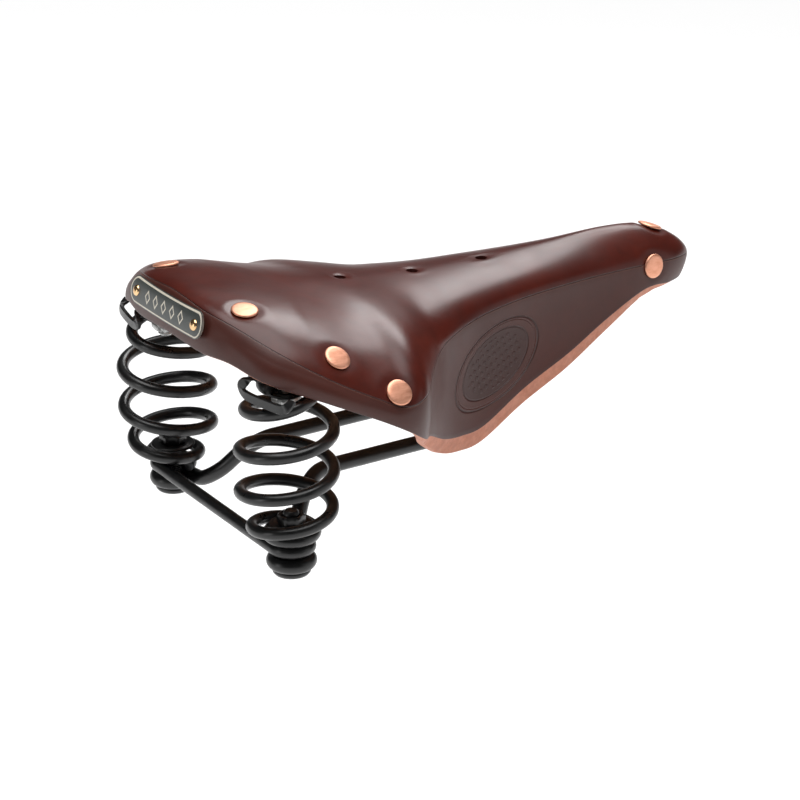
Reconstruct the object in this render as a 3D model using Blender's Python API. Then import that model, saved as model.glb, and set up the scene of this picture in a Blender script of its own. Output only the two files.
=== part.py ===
"""Sprung leather bicycle saddle: leather top on a cantle plate and a nose piece, held up by two
rails, a crossbar and two upright coil springs. Millimetres below, metres in Blender.
X points to the nose, Y to the rider's left, Z up. The origin is where the seat post clamps the rails."""

import math

import bmesh
import bpy
import numpy as np
from mathutils import Matrix, Quaternion, Vector

MM = 0.001

# Overall sizes
LEATHER_LENGTH = 281.0
LEATHER_WIDTH = 169.0
LEATHER_THICKNESS = 5.2
SADDLE_HEIGHT = 90.0  # rail centre line to the top of the rear rim
CLAMP_FROM_SPRINGS = 64.0  # clamp centre, forward of the spring axes

# Fits
GAP = 0.3  # between pieces that touch
HOLE_CLEARANCE = 0.3  # on the radius of every hole round a shank or a rod

# Wire and rods
RAIL_DIAMETER = 7.0
RAIL_SPACING = 43.0
CROSSBAR_DIAMETER = 5.8
SPRING_WIRE = 5.5
SPRING_OUTER = 45.4
SPRING_SPACING = 104.8
SPRING_PITCH = 17.3
EYE_DROP = 23.1  # rail eye below the clamped part of the rail
EYE_INNER = 4.0  # inner radius of the rail eyes
LOOP_INNER = 4.9  # inner radius of the crossbar's end loops
LOWER_BOLT_FORWARD = 1.8  # lower bolts, forward of the coil axes
SPRING_EYE_RADIUS = 9.7  # centre line of the small end loops
TOP_EYE_HEIGHT = 58.5

# Fasteners
BOLT_DIAMETER = 7.0
NUT_ACROSS_FLATS = 11.0
NUT_HEIGHT = 4.2
TENSION_BOLT_DIAMETER = 7.0
TENSION_NUT_FLATS = 11.0
TENSION_NUT_HEIGHT = 5.5
WASHER_OUTER = 20.0
TOP_WASHER_OUTER = 16.4
WASHER_THICKNESS = 1.2
RIVET_HEAD = 11.6
RIVET_HEAD_HEIGHT = 1.5
RIVET_SHANK = 5.0
BADGE_RIVET_HEAD = 5.0
PLATE_THICKNESS = 1.8
PLATE_GAP = 0.6  # between the leather and the plates under it
FLANGE_THICKNESS = 3.0
VENT_DIAMETER = 5.0

# Bag loops and badge
LOOP_PLATE = 1.8
LOOP_WIDTH = 4.2
BADGE_LENGTH = 62.0
BADGE_HEIGHT = 11.0
BADGE_THICKNESS = 1.0
BADGE_GAP = 0.7  # room for the flat facets of the leather behind it
BADGE_RIVET_SPACING = 50.0
BADGE_BEND = 0.3  # share of the rear panel's curve that the badge follows

LENGTH_SCALE = LEATHER_LENGTH / 281.0
WIDTH_SCALE = LEATHER_WIDTH / 169.0
HEIGHT_SCALE = SADDLE_HEIGHT / 90.0

# Half outline of the leather, rear centre to nose tip. Each row: rib start on the spine x, then the
# crease x, y, z, then the lower edge x, y, z, the slope at the crease in degrees, the bulge of the
# panel below the crease, the width of the bevelled edge.
STATIONS = (
    (4, -24, 0, 90, -26.8, 0, 69.5, 38, 2.0, 0.8),
    (5, -22.6, 25, 87.5, -25.7, 26, 68.3, 40, 2.0, 0.8),
    (8, -16.8, 42, 83.5, -22.4, 44, 68.6, 44, 2.2, 0.8),
    (16, -7, 61, 76, -14.5, 61, 63.4, 48, 2.4, 0.8),
    (28, 9.5, 73, 65, 6.5, 74, 54.5, 52, 2, 0.8),
    (40, 28, 80, 55, 28, 80.5, 44.5, 55, 1.5, 0.8),
    (48, 40, 84, 50, 42, 83, 37, 58, 1.2, 1.2),
    (57, 52, 81, 51.5, 54, 77, 28.5, 60, 1.5, 2.5),
    (68, 65, 66, 54.5, 66, 63, 18.5, 62, 0.5, 5),
    (81, 79, 51, 56, 82, 51, 7, 64, -1, 7),
    (94, 92, 42.5, 58, 96, 44, 2.3, 66, -2, 7.5),
    (112, 112, 34, 60, 112, 38.5, 1.6, 67, -2.2, 7.5),
    (139, 139, 28, 61.3, 138, 32.6, 12, 67, -2, 7.5),
    (170, 171, 23, 61.2, 165, 28.8, 22, 67, -1.2, 7.5),
    (192, 196, 20, 60.5, 190, 24.2, 33, 66, -0.6, 7),
    (208, 220, 17.6, 59.5, 216, 19, 43, 66, 0, 5),
    (217, 238, 15, 58.5, 234, 14, 44.5, 66, 0.6, 2),
    (222, 249.5, 8.6, 57.5, 245.5, 8, 44.8, 64, 0.8, 1),
    (224, 253.5, 0, 57, 248.5, 0, 44.8, 63, 0.8, 0.8),
)
# Height of the leather along the centre line, as x and z.
SPINE = ((-30, 90.5), (4, 88), (30, 83.4), (60, 78.6), (98, 74.4), (140, 73.4), (175, 74), (205, 75.2), (221, 74),
         (235, 70.5))
CANTLE_END = 6  # the cantle plate and the nose piece reach to these stations
NOSE_START = 14.6
RIBS_PER_STATION = 2
TOP_ROWS = 12
PANEL_ROWS = 6
FINE = 24  # points along a rib from spine to crease, and again to the edge
CREASE_ROUNDING = 6.0
CROWN = 0.3  # how far the top stays level on its way from the spine to the crease
NORMAL_PASSES = 8
CANTLE_ROWS = (8, 16)
NOSE_ROWS = (2, 16)

# Where the rivets sit, as x and y from the spring line and centre line.
REAR_RIVETS = ((-8.5, 34.2), (17, 66), (38.5, 80))
NOSE_TOP_RIVET = (232.7, 0)
NOSE_SIDE_RIVET = (222, 16.5, 57.5)
VENTS = (59.5, 97.5, 135.2)

# Clamp rails and tensioner
RAIL_STRAIGHT = (44.0, 92.0)
YOKE_X = (176.0, 185.0)
YOKE_HEIGHT = 13.0
YOKE_RAIL_Y = 8.8
TENSION_AXIS_Z = 52.0
TENSION_BOLT_START = 160.0
SOCKET_X = (225.5, 236.6)
SOCKET_RADIUS = 7.4
SOCKET_FLOOR = 3.0
NOSE_WEB = (228.5, 9.0, 61.9)  # start along x, width and top of the web over the socket
BOLT_HEAD_RADIUS = 5.2
BOLT_HEAD_LENGTH = 4.5
HEAD_ROOM = 0.9


def pt(x, y, z):
    """A point measured from the spring line, in the frame of the whole saddle, in metres."""
    return Vector(((x - CLAMP_FROM_SPRINGS) * MM, y * MM, z * MM))


def material(name, color, metallic, roughness):
    mat = bpy.data.materials.new(name)
    mat.use_nodes = True
    bsdf = mat.node_tree.nodes["Principled BSDF"]
    bsdf.inputs["Base Color"].default_value = (*color, 1)
    bsdf.inputs["Metallic"].default_value = metallic
    bsdf.inputs["Roughness"].default_value = roughness
    return mat


def face_out(bm):
    bmesh.ops.recalc_face_normals(bm, faces=bm.faces)
    if bm.calc_volume(signed=True) < 0:
        bmesh.ops.reverse_faces(bm, faces=bm.faces)


def finish(bm, name, looks, smooth=True, location=None, rotation=None):
    face_out(bm)
    mesh = bpy.data.meshes.new(name)
    bm.to_mesh(mesh)
    bm.free()
    for polygon in mesh.polygons:
        polygon.use_smooth = smooth
    obj = bpy.data.objects.new(name, mesh)
    bpy.context.scene.collection.objects.link(obj)
    obj.data.materials.append(material(name + "_looks", *looks))
    if location is not None:
        obj.location = location
    if rotation is not None:
        obj.rotation_mode = "QUATERNION"
        obj.rotation_quaternion = rotation
    return obj


def turned(profile, sides=24):
    """A closed solid turned round Z. The profile is (radius, z) in mm, from the axis back to the axis."""
    bm = bmesh.new()
    rings = []
    for radius, z in profile:
        if radius < 1e-6:
            rings.append([bm.verts.new((0, 0, z * MM))])
            continue
        ring = []
        for i in range(sides):
            a = 2 * math.pi * i / sides
            ring.append(bm.verts.new((radius * MM * math.cos(a), radius * MM * math.sin(a), z * MM)))
        rings.append(ring)
    for low, high in zip(rings, rings[1:] + (rings[:1] if len(rings[0]) > 1 else [])):
        for i in range(sides):
            j = (i + 1) % sides
            corners = []
            for ring, k in ((low, i), (low, j), (high, j), (high, i)):
                vert = ring[k % len(ring)]
                if vert not in corners:
                    corners.append(vert)
            if len(corners) > 2:
                bm.faces.new(corners)
    return bm


def hex_nut(across, height, bore, chamfer=1.0):
    """A hexagon nut with a plain bore, standing on z = 0."""
    bm = bmesh.new()
    n = 12
    corner = across / math.sqrt(3)
    rows = ((bore, 0), (across / 2 - 0.2, 0), (None, chamfer), (None, height - chamfer), (across / 2 - 0.2, height),
            (bore, height))
    rings = []
    for radius, z in rows:
        ring = []
        for i in range(n):
            a = 2 * math.pi * i / n
            r = radius
            if r is None:
                r = across / 2 / math.cos((a + math.pi / 6) % (math.pi / 3) - math.pi / 6)
                r = min(r, corner)
            ring.append(bm.verts.new((r * MM * math.cos(a), r * MM * math.sin(a), z * MM)))
        rings.append(ring)
    for low, high in zip(rings, rings[1:] + rings[:1]):
        for i in range(n):
            j = (i + 1) % n
            bm.faces.new((low[i], low[j], high[j], high[i]))
    return bm


def tube(points, radius, sides=10):
    """A round rod with flat ends along points in metres, its section kept from twisting."""
    bm = bmesh.new()
    points = [Vector(p) for p in points]
    tangents = []
    for i in range(len(points)):
        a = points[max(i - 1, 0)]
        b = points[min(i + 1, len(points) - 1)]
        tangents.append((b - a).normalized())
    side = tangents[0].orthogonal().normalized()
    rings = []
    for i, (p, t) in enumerate(zip(points, tangents)):
        if i:
            side = tangents[i - 1].rotation_difference(t) @ side
            side = (side - t * side.dot(t)).normalized()
        up = t.cross(side)
        ring = []
        for k in range(sides):
            a = 2 * math.pi * k / sides
            ring.append(bm.verts.new(p + (side * math.cos(a) + up * math.sin(a)) * radius * MM))
        rings.append(ring)
    for low, high in zip(rings, rings[1:]):
        for k in range(sides):
            m = (k + 1) % sides
            bm.faces.new((low[k], low[m], high[m], high[k]))
    bm.faces.new(rings[0][::-1])
    bm.faces.new(rings[-1])
    return bm


def smooth_path(corners, step=4.5):
    """A Catmull-Rom curve through corners in mm, sampled about every step."""
    c = [np.array(p, float) for p in corners]
    c = [2 * c[0] - c[1]] + c + [2 * c[-1] - c[-2]]
    out = []
    for a, b, d, e in zip(c, c[1:], c[2:], c[3:]):
        n = max(2, int(np.linalg.norm(d - b) / step))
        for i in range(n):
            t = i / n
            out.append(0.5 * (2 * b + (d - a) * t + (2 * a - 5 * b + 4 * d - e) * t**2 + (3 * b - a - 3 * d + e) * t**3))
    out.append(c[-2])
    return out


def catmull(rows, s):
    """Values at a fractional row number, smooth across rows, with mirrored rows past both ends."""
    rows = np.array(rows, float)
    flip = np.ones(rows.shape[1])
    flip[[2, 5]] = -1
    padded = np.vstack([rows[1] * flip, rows, rows[-2] * flip])
    i = int(min(max(math.floor(s), 0), len(rows) - 2))
    t = s - i
    a, b, d, e = padded[i:i + 4]
    return 0.5 * (2 * b + (d - a) * t + (2 * a - 5 * b + 4 * d - e) * t**2 + (3 * b - a - 3 * d + e) * t**3)


def spine_height(x):
    """Height and slope of the centre line."""
    xs, zs = np.array(SPINE, float).T
    slopes = np.gradient(zs, xs)
    i = int(np.clip(np.searchsorted(xs, x) - 1, 0, len(xs) - 2))
    w = xs[i + 1] - xs[i]
    t = (x - xs[i]) / w
    h = (2 * t**3 - 3 * t**2 + 1) * zs[i] + (t**3 - 2 * t**2 + t) * w * slopes[i]
    h += (3 * t**2 - 2 * t**3) * zs[i + 1] + (t**3 - t**2) * w * slopes[i + 1]
    g = (6 * t**2 - 6 * t) * (zs[i] - zs[i + 1]) / w + (3 * t**2 - 4 * t + 1) * slopes[i]
    g += (3 * t**2 - 2 * t) * slopes[i + 1]
    return h, g


def rib_curve(s):
    """The leather's outer face along one rib in mm, from the spine over the top and down the panel."""
    row = catmull(STATIONS, s)
    qx, crease, edge, slope, bulge, bevel = row[0], row[1:4], row[4:7], math.radians(row[7]), row[8], row[9]
    h, g = spine_height(qx)
    start = np.array((qx, 0.0, h))
    reach = crease - start
    reach[2] = 0
    length = np.linalg.norm(reach)
    out = reach / length
    p1 = start + out * CROWN * length + np.array((0, 0, g * out[0] * CROWN * length))
    p2 = crease - 0.34 * length * np.array((out[0] * math.cos(slope), out[1] * math.cos(slope), -math.sin(slope)))
    p2[2] = min(p2[2], h + 3)
    v = np.linspace(0, 1, FINE + 1)[:, None]
    top = (1 - v)**3 * start + 3 * (1 - v)**2 * v * p1 + 3 * (1 - v) * v**2 * p2 + v**3 * crease
    down = edge - crease
    edge = edge - down / np.linalg.norm(down) * bevel
    mid = (crease + edge) / 2 + 2 * bulge * out
    v = v[1:]
    panel = (1 - v)**2 * crease + 2 * (1 - v) * v * mid + v**2 * edge
    points = np.vstack((top, panel))
    # Round the turn over the crease, and leave both ends of the rib where they are.
    along = np.concatenate(([0], np.cumsum(np.linalg.norm(np.diff(points, axis=0), axis=1))))
    weight = np.exp(-((along[:, None] - along[None]) / CREASE_ROUNDING)**2)
    spacing = np.gradient(along)
    rounded = (weight * spacing) @ points / (weight @ spacing)[:, None]
    room = np.minimum(along, along[-1] - along) / (1.6 * CREASE_ROUNDING)
    room = np.clip(room, 0, 1)[:, None]**2
    points = points * (1 - room) + rounded * room
    return points * np.array((LENGTH_SCALE, WIDTH_SCALE, HEIGHT_SCALE)), bevel


def leather_grid():
    """Points, normals and bevel widths, one row per rib round the leather, starting at the rear centre."""
    last = len(STATIONS) - 1
    steps = last * RIBS_PER_STATION
    half = [i / RIBS_PER_STATION for i in range(steps + 1)]
    ribs = [(s, 1) for s in half] + [(s, -1) for s in half[-2:0:-1]]
    picked = [round(FINE * i / TOP_ROWS) for i in range(TOP_ROWS + 1)]
    picked += [FINE + round(FINE * i / PANEL_ROWS) for i in range(1, PANEL_ROWS + 1)]
    points = np.zeros((len(ribs), len(picked), 3))
    bevels = np.zeros(len(ribs))
    for i, (s, side) in enumerate(ribs):
        curve, bevels[i] = rib_curve(s)
        points[i] = curve[picked] * np.array((1, side, 1))
    # Normals from the faces round each point, the spine's summed over both sides.
    sums = {}
    keys = np.round(points, 4)
    n = len(ribs)
    for i in range(n):
        k = (i + 1) % n
        for j in range(len(picked) - 1):
            a, b, c, d = points[i, j], points[k, j], points[k, j + 1], points[i, j + 1]
            face = np.cross(c - a, d - b)
            for ii, jj in ((i, j), (k, j), (k, j + 1), (i, j + 1)):
                key = tuple(keys[ii, jj])
                sums[key] = sums.get(key, 0) + face
    normals = np.zeros_like(points)
    for i in range(n):
        for j in range(len(picked)):
            total = sums[tuple(keys[i, j])]
            normals[i, j] = total / np.linalg.norm(total)
    if normals[0, 0, 2] < 0:
        normals = -normals
    # Even out the directions, so that faces offset inwards don't cross at the tight turns.
    for _ in range(NORMAL_PASSES):
        spread = normals * 2 + np.roll(normals, 1, axis=0) + np.roll(normals, -1, axis=0)
        spread[:, 1:-1] += normals[:, :-2] + normals[:, 2:]
        spread[:, -1] += normals[:, -2]
        spread[:, 0, 1] = 0
        normals = spread / np.linalg.norm(spread, axis=2)[:, :, None]
    for i, (s, side) in enumerate(ribs):
        normals[i, 0] = (normals[i, 0] + normals[-i, 0]) / np.linalg.norm(normals[i, 0] + normals[-i, 0])
    return ribs, points, normals, bevels


def welded(bm):
    bmesh.ops.remove_doubles(bm, verts=bm.verts, dist=1e-6)
    bmesh.ops.dissolve_degenerate(bm, edges=bm.edges, dist=1e-7)
    return bm


def cut(obj, cutter_bm, name):
    """A Boolean difference with a hidden cutter."""
    boolean(obj, cutter_bm, name, "DIFFERENCE")


def boolean(obj, cutter_bm, name, operation):
    face_out(cutter_bm)
    mesh = bpy.data.meshes.new(name)
    cutter_bm.to_mesh(mesh)
    cutter_bm.free()
    cutter = bpy.data.objects.new(name, mesh)
    bpy.context.scene.collection.objects.link(cutter)
    cutter.hide_render = True
    cutter.display_type = "WIRE"
    modifier = obj.modifiers.new(name, "BOOLEAN")
    modifier.operation = operation
    modifier.solver = "EXACT"
    modifier.object = cutter


def rod_bm(bm, radius, start, end, sides=16):
    """Adds a closed cylinder between two points in metres."""
    axis = end - start
    made = bmesh.ops.create_cone(bm, cap_ends=True, segments=sides, radius1=radius * MM, radius2=radius * MM,
                                 depth=axis.length)
    turn = axis.to_track_quat("Z", "Y").to_matrix().to_4x4()
    bmesh.ops.transform(bm, matrix=Matrix.Translation((start + end) / 2) @ turn, verts=made["verts"])


FINE_RIBS = [(s, rib_curve(s)[0]) for s in np.linspace(0, len(STATIONS) - 1, 145)]


def nearest(target):
    """The leather point and normal nearest a target, which is x, y on the top or x, y, z in mm."""
    target = np.array(target, float)
    best = None
    for s, curve in FINE_RIBS:
        rows = curve[1:FINE + 1] if len(target) == 2 else curve[1:-1]
        d = np.linalg.norm(rows[:, :len(target)] - target, axis=1)
        k = int(d.argmin())
        if best is None or d[k] < best[0]:
            best = (d[k], s, k + 1)
    _, s, k = best
    here = rib_curve(s)[0]
    ds = rib_curve(s + 0.05)[0][k] - rib_curve(s - 0.05)[0][k]
    n = np.cross(here[k + 1] - here[k - 1], ds)
    n /= np.linalg.norm(n)
    if n @ (here[k] - np.array((here[k][0], 0, 20))) < 0:
        n = -n
    return here[k], n


for stale in list(bpy.data.objects):
    bpy.data.objects.remove(stale)

LEATHER = ((0.16, 0.035, 0.02), 0.0, 0.35)
COPPER = ((0.75, 0.42, 0.3), 1.0, 0.3)
BLACK = ((0.02, 0.02, 0.022), 0.6, 0.35)
ZINC = ((0.45, 0.45, 0.45), 1.0, 0.35)

# Leather
ribs, outer, normals, bevels = leather_grid()
inner = outer - normals * LEATHER_THICKNESS
lip = outer[:, -1] + 0.0
edge_end = inner[:, -1] + 0.0
for i in range(len(ribs)):
    run = outer[i, -1] - outer[i, -2]
    run /= np.linalg.norm(run)
    depth = min(0.55 * LEATHER_THICKNESS, 0.45 * bevels[i] + 0.3)
    lip[i] = outer[i, -1] + run * bevels[i] - normals[i, -1] * depth
    edge_end[i] = outer[i, -1] + run * bevels[i] - normals[i, -1] * LEATHER_THICKNESS
outer_full = np.concatenate([outer, lip[:, None]], axis=1)
inner_full = np.concatenate([inner, edge_end[:, None]], axis=1)
bm = bmesh.new()
n = len(ribs)
m = outer_full.shape[1]
o = [[bm.verts.new(pt(*outer_full[i, j])) for j in range(m)] for i in range(n)]
q = [[bm.verts.new(pt(*inner_full[i, j])) for j in range(m)] for i in range(n)]
for i in range(n):
    k = (i + 1) % n
    for j in range(m - 1):
        bm.faces.new((o[i][j], o[k][j], o[k][j + 1], o[i][j + 1]))
        bm.faces.new((q[i][j + 1], q[k][j + 1], q[k][j], q[i][j]))
    bm.faces.new((o[k][-1], o[i][-1], q[i][-1], q[k][-1]))
leather = finish(welded(bm), "leather_top", LEATHER)


def shell_part(first, last, rows, depth, thickness, name, looks):
    """A plate that lies under the leather between two stations either side of the centre line."""
    picked = [i for i, (s, side) in enumerate(ribs) if first <= s <= last]
    if first > 0:
        picked.sort(key=lambda i: ribs[i][1] * (last - ribs[i][0]))
    else:
        picked.sort(key=lambda i: ribs[i][1] * ribs[i][0])
    a, b = rows
    top = outer[picked, a:b + 1] - normals[picked, a:b + 1] * depth
    under = outer[picked, a:b + 1] - normals[picked, a:b + 1] * (depth + thickness)
    plate = bmesh.new()
    n, m = top.shape[:2]
    o = [[plate.verts.new(pt(*top[i, j])) for j in range(m)] for i in range(n)]
    q = [[plate.verts.new(pt(*under[i, j])) for j in range(m)] for i in range(n)]
    for i in range(n - 1):
        for j in range(m - 1):
            plate.faces.new((o[i][j], o[i + 1][j], o[i + 1][j + 1], o[i][j + 1]))
            plate.faces.new((q[i][j + 1], q[i + 1][j + 1], q[i + 1][j], q[i][j]))
        plate.faces.new((o[i + 1][-1], o[i][-1], q[i][-1], q[i + 1][-1]))
        plate.faces.new((o[i][0], o[i + 1][0], q[i + 1][0], q[i][0]))
    for j in range(m - 1):
        plate.faces.new((o[0][j], o[0][j + 1], q[0][j + 1], q[0][j]))
        plate.faces.new((o[-1][j + 1], o[-1][j], q[-1][j], q[-1][j + 1]))
    return finish(welded(plate), name, looks), (top + under) / 2


def prism(outline, low, high):
    """A closed solid over an outline of x, y in mm, between two heights."""
    bm = bmesh.new()
    bottom = [bm.verts.new(pt(x, y, low)) for x, y in outline]
    top = [bm.verts.new(pt(x, y, high)) for x, y in outline]
    bm.faces.new(bottom[::-1])
    bm.faces.new(top)
    for i in range(len(outline)):
        k = (i + 1) % len(outline)
        bm.faces.new((bottom[i], bottom[k], top[k], top[i]))
    return bm


def circle(cx, cy, radius, start=0.0, end=360.0, steps=24):
    full = end - start >= 360
    count = steps if full else steps + 1
    angles = [math.radians(start + (end - start) * i / steps) for i in range(count)]
    return [(cx + radius * math.cos(a), cy + radius * math.sin(a)) for a in angles]


# Cantle plate, with a flat lug under each rear corner for the top of a spring
plate_depth = LEATHER_THICKNESS + PLATE_GAP
cantle, mid = shell_part(0, CANTLE_END, CANTLE_ROWS, plate_depth, PLATE_THICKNESS, "cantle_plate", BLACK)
tongue_low = TOP_EYE_HEIGHT + SPRING_WIRE / 2 + GAP
flange_low = tongue_low + LOOP_PLATE + GAP
flange_mid = flange_low + FLANGE_THICKNESS / 2
spring_y = SPRING_SPACING / 2
lug_reach = SPRING_EYE_RADIUS + SPRING_WIRE / 2 - 1.3
for side, tag in ((1, "left"), (-1, "right")):
    back = []
    for rib in mid:
        order = rib[rib[:, 2].argsort()]
        x = np.interp(flange_mid, order[:, 2], order[:, 0])
        y = side * np.interp(flange_mid, order[:, 2], order[:, 1])
        if rib[:, 2].min() < flange_mid - 1 and math.hypot(x, y - spring_y) < lug_reach:
            back.append((x, y))
    back.sort(key=lambda p: p[1])
    turn = [math.degrees(math.atan2(y - spring_y, x)) for x, y in (back[-1], back[0])]
    front = circle(0, spring_y, lug_reach, turn[0] - 4, turn[1] + 4, 18)
    back = [(x, side * y) for x, y in back]
    front = [(x, side * y) for x, y in front]
    outline = back + front
    boolean(cantle, prism(outline, flange_low, flange_low + FLANGE_THICKNESS), f"lug_{tag}", "UNION")
    hole = bmesh.new()
    rod_bm(hole, BOLT_DIAMETER / 2 + HOLE_CLEARANCE, pt(0, side * spring_y, flange_low - 3),
           pt(0, side * spring_y, flange_low + 6), 20)
    cut(cantle, hole, f"lug_hole_{tag}")

# Nose piece, with a socket for the head of the tension bolt
nose, nose_mid = shell_part(NOSE_START, len(STATIONS) - 1, NOSE_ROWS, plate_depth, PLATE_THICKNESS, "nose_piece", BLACK)
socket = bmesh.new()
axis_z = TENSION_AXIS_Z * HEIGHT_SCALE
socket_start = SOCKET_X[0] * LENGTH_SCALE
socket_end = SOCKET_X[1] * LENGTH_SCALE
rod_bm(socket, SOCKET_RADIUS, pt(socket_start, 0, axis_z), pt(socket_end, 0, axis_z), 20)
boolean(nose, socket, "nose_socket", "UNION")
half_web = NOSE_WEB[1] / 2
web_start = NOSE_WEB[0] * LENGTH_SCALE
outline = ((web_start, -half_web), (socket_end - 0.1, -half_web), (socket_end - 0.1, half_web), (web_start, half_web))
boolean(nose, prism(outline, axis_z + SOCKET_RADIUS - 2, NOSE_WEB[2] * HEIGHT_SCALE), "nose_web", "UNION")
pocket = bmesh.new()
head_end = socket_end - SOCKET_FLOOR - HEAD_ROOM
rod_bm(pocket, BOLT_HEAD_RADIUS + HEAD_ROOM, pt(socket_start - 4, 0, axis_z), pt(head_end + HEAD_ROOM, 0, axis_z), 20)
cut(nose, pocket, "nose_pocket")

# Rivets: a low dome, a shank and a small closed end under the plate
UP = Vector((0, 0, 1))


def rivet(name, target, side, head, depth):
    p, normal = nearest(target)
    p = np.array((p[0], side * p[1], p[2]))
    normal = Vector((normal[0], side * normal[1], normal[2])).normalized()
    if side == 0:
        p[1] = 0
        normal = Vector((normal[0], 0, normal[2])).normalized()
    r = head / 2
    shank = RIVET_SHANK / 2
    low = -depth
    profile = ((0, RIVET_HEAD_HEIGHT), (r * 0.8, RIVET_HEAD_HEIGHT - 0.35), (r, 0.6), (r, GAP), (shank, GAP), (shank, low),
               (0, low - 0.5))
    place = pt(*p)
    turn = UP.rotation_difference(normal)
    finish(turned(profile, 16), name, COPPER, True, place, turn)
    hole = bmesh.new()
    rod_bm(hole, shank + HOLE_CLEARANCE, place - normal * (depth + 6) * MM, place + normal * 8 * MM, 12)
    return hole


rivet_depth = plate_depth + PLATE_THICKNESS + 0.8
holes = []
for number, target in enumerate(REAR_RIVETS, 1):
    scaled = (target[0] * LENGTH_SCALE, target[1] * WIDTH_SCALE)
    for side, tag in ((1, "left"), (-1, "right")):
        hole = rivet(f"rear_rivet_{tag}_{number}", scaled, side, RIVET_HEAD, rivet_depth)
        copy = hole.copy()
        cut(leather, hole, f"leather_hole_{tag}_{number}")
        cut(cantle, copy, f"cantle_hole_{tag}_{number}")
scaled = (NOSE_TOP_RIVET[0] * LENGTH_SCALE, NOSE_TOP_RIVET[1])
hole = rivet("nose_rivet_top", scaled, 0, RIVET_HEAD, rivet_depth)
copy = hole.copy()
cut(leather, hole, "leather_hole_nose_top")
cut(nose, copy, "nose_hole_top")
scaled = (NOSE_SIDE_RIVET[0] * LENGTH_SCALE, NOSE_SIDE_RIVET[1] * WIDTH_SCALE, NOSE_SIDE_RIVET[2] * HEIGHT_SCALE)
for side, tag in ((1, "left"), (-1, "right")):
    hole = rivet(f"nose_rivet_{tag}", scaled, side, RIVET_HEAD, rivet_depth)
    copy = hole.copy()
    cut(leather, hole, f"leather_hole_nose_{tag}")
    cut(nose, copy, f"nose_hole_{tag}")

# Ventilation holes
for number, x in enumerate(VENTS, 1):
    x = x * LENGTH_SCALE
    height, slope = spine_height(x / LENGTH_SCALE)
    hole = bmesh.new()
    centre = pt(x, 0, height * HEIGHT_SCALE)
    rod_bm(hole, VENT_DIAMETER / 2, centre - UP * 12 * MM, centre + UP * 6 * MM, 14)
    cut(leather, hole, f"vent_{number}")

# Badge: a bent plate on the rear panel, with two small rivets
rear = [i for i, (s, side) in enumerate(ribs) if s <= 3]
rear.sort(key=lambda i: ribs[i][1] * ribs[i][0])


def rear_panel(y, z):
    """The rear panel's outer face and normal at a y and a height in mm."""
    xs, ys, ns = [], [], []
    for i in rear:
        rib = outer[i, TOP_ROWS - 1:]
        order = rib[:, 2].argsort()
        zs = rib[order, 2]
        xs.append(np.interp(z, zs, rib[order, 0]))
        ys.append(np.interp(z, zs, rib[order, 1]))
        nn = normals[i, TOP_ROWS - 1:][order]
        ns.append([np.interp(z, zs, nn[:, k]) for k in range(3)])
    ns = np.array(ns)
    normal = np.array([np.interp(y, ys, ns[:, k]) for k in range(3)])
    return np.array((np.interp(y, ys, xs), y, z)), normal / np.linalg.norm(normal)


def badge_spot(y, z):
    """A point under the badge and the badge's normal: the badge is bent less than the panel behind it."""
    p, normal = rear_panel(y, z)
    middle, lean = rear_panel(0, z)
    p[0] = middle[0] + BADGE_BEND * (p[0] - middle[0])
    normal = lean + BADGE_BEND * (normal - lean)
    return p, normal / np.linalg.norm(normal)


BADGE_CENTRE_Z = 80.9
badge = bmesh.new()
half_l = BADGE_LENGTH / 2
half_h = BADGE_HEIGHT / 2
columns = [half_l * math.sin(math.pi / 2 * i / 9) for i in range(-9, 10)]
front_verts = []
back_verts = []
for y in columns:
    beyond = max(abs(y) - (half_l - half_h), 0)
    tall = math.sqrt(max(half_h**2 - beyond**2, 1.2**2))
    column_f = []
    column_b = []
    for k in (-1, -0.5, 0, 0.5, 1):
        p, normal = badge_spot(y, BADGE_CENTRE_Z * HEIGHT_SCALE + k * tall)
        column_f.append(badge.verts.new(pt(*(p + normal * (BADGE_GAP + BADGE_THICKNESS)))))
        column_b.append(badge.verts.new(pt(*(p + normal * BADGE_GAP))))
    front_verts.append(column_f)
    back_verts.append(column_b)
for i in range(len(columns) - 1):
    for k in range(4):
        f, b = front_verts, back_verts
        badge.faces.new((f[i][k], f[i + 1][k], f[i + 1][k + 1], f[i][k + 1]))
        badge.faces.new((b[i][k + 1], b[i + 1][k + 1], b[i + 1][k], b[i][k]))
    badge.faces.new((f[i][0], b[i][0], b[i + 1][0], f[i + 1][0]))
    badge.faces.new((f[i][4], f[i + 1][4], b[i + 1][4], b[i][4]))
for i in (0, -1):
    for k in range(4):
        badge.faces.new((front_verts[i][k], front_verts[i][k + 1], back_verts[i][k + 1], back_verts[i][k]))
badge_obj = finish(badge, "badge_plate", ((0.06, 0.07, 0.065), 0.8, 0.35))
for side, tag in ((1, "left"), (-1, "right")):
    p, normal = badge_spot(side * BADGE_RIVET_SPACING / 2, BADGE_CENTRE_Z * HEIGHT_SCALE)
    normal = Vector(normal)
    r = BADGE_RIVET_HEAD / 2
    top = BADGE_GAP + BADGE_THICKNESS + GAP
    profile = ((0, top + 1), (r * 0.7, top + 0.7), (r, top + 0.2), (r, top), (1.2, top), (1.2, -3), (0, -3))
    place = pt(*p)
    finish(turned(profile, 12), f"badge_rivet_{tag}", COPPER, True, place, UP.rotation_difference(normal))
    hole = bmesh.new()
    rod_bm(hole, 1.2 + HOLE_CLEARANCE, place - normal * 3.4 * MM, place + normal * 6 * MM, 12)
    copy = hole.copy()
    cut(leather, hole, f"leather_badge_hole_{tag}")
    cut(badge_obj, copy, f"badge_hole_{tag}")

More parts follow.
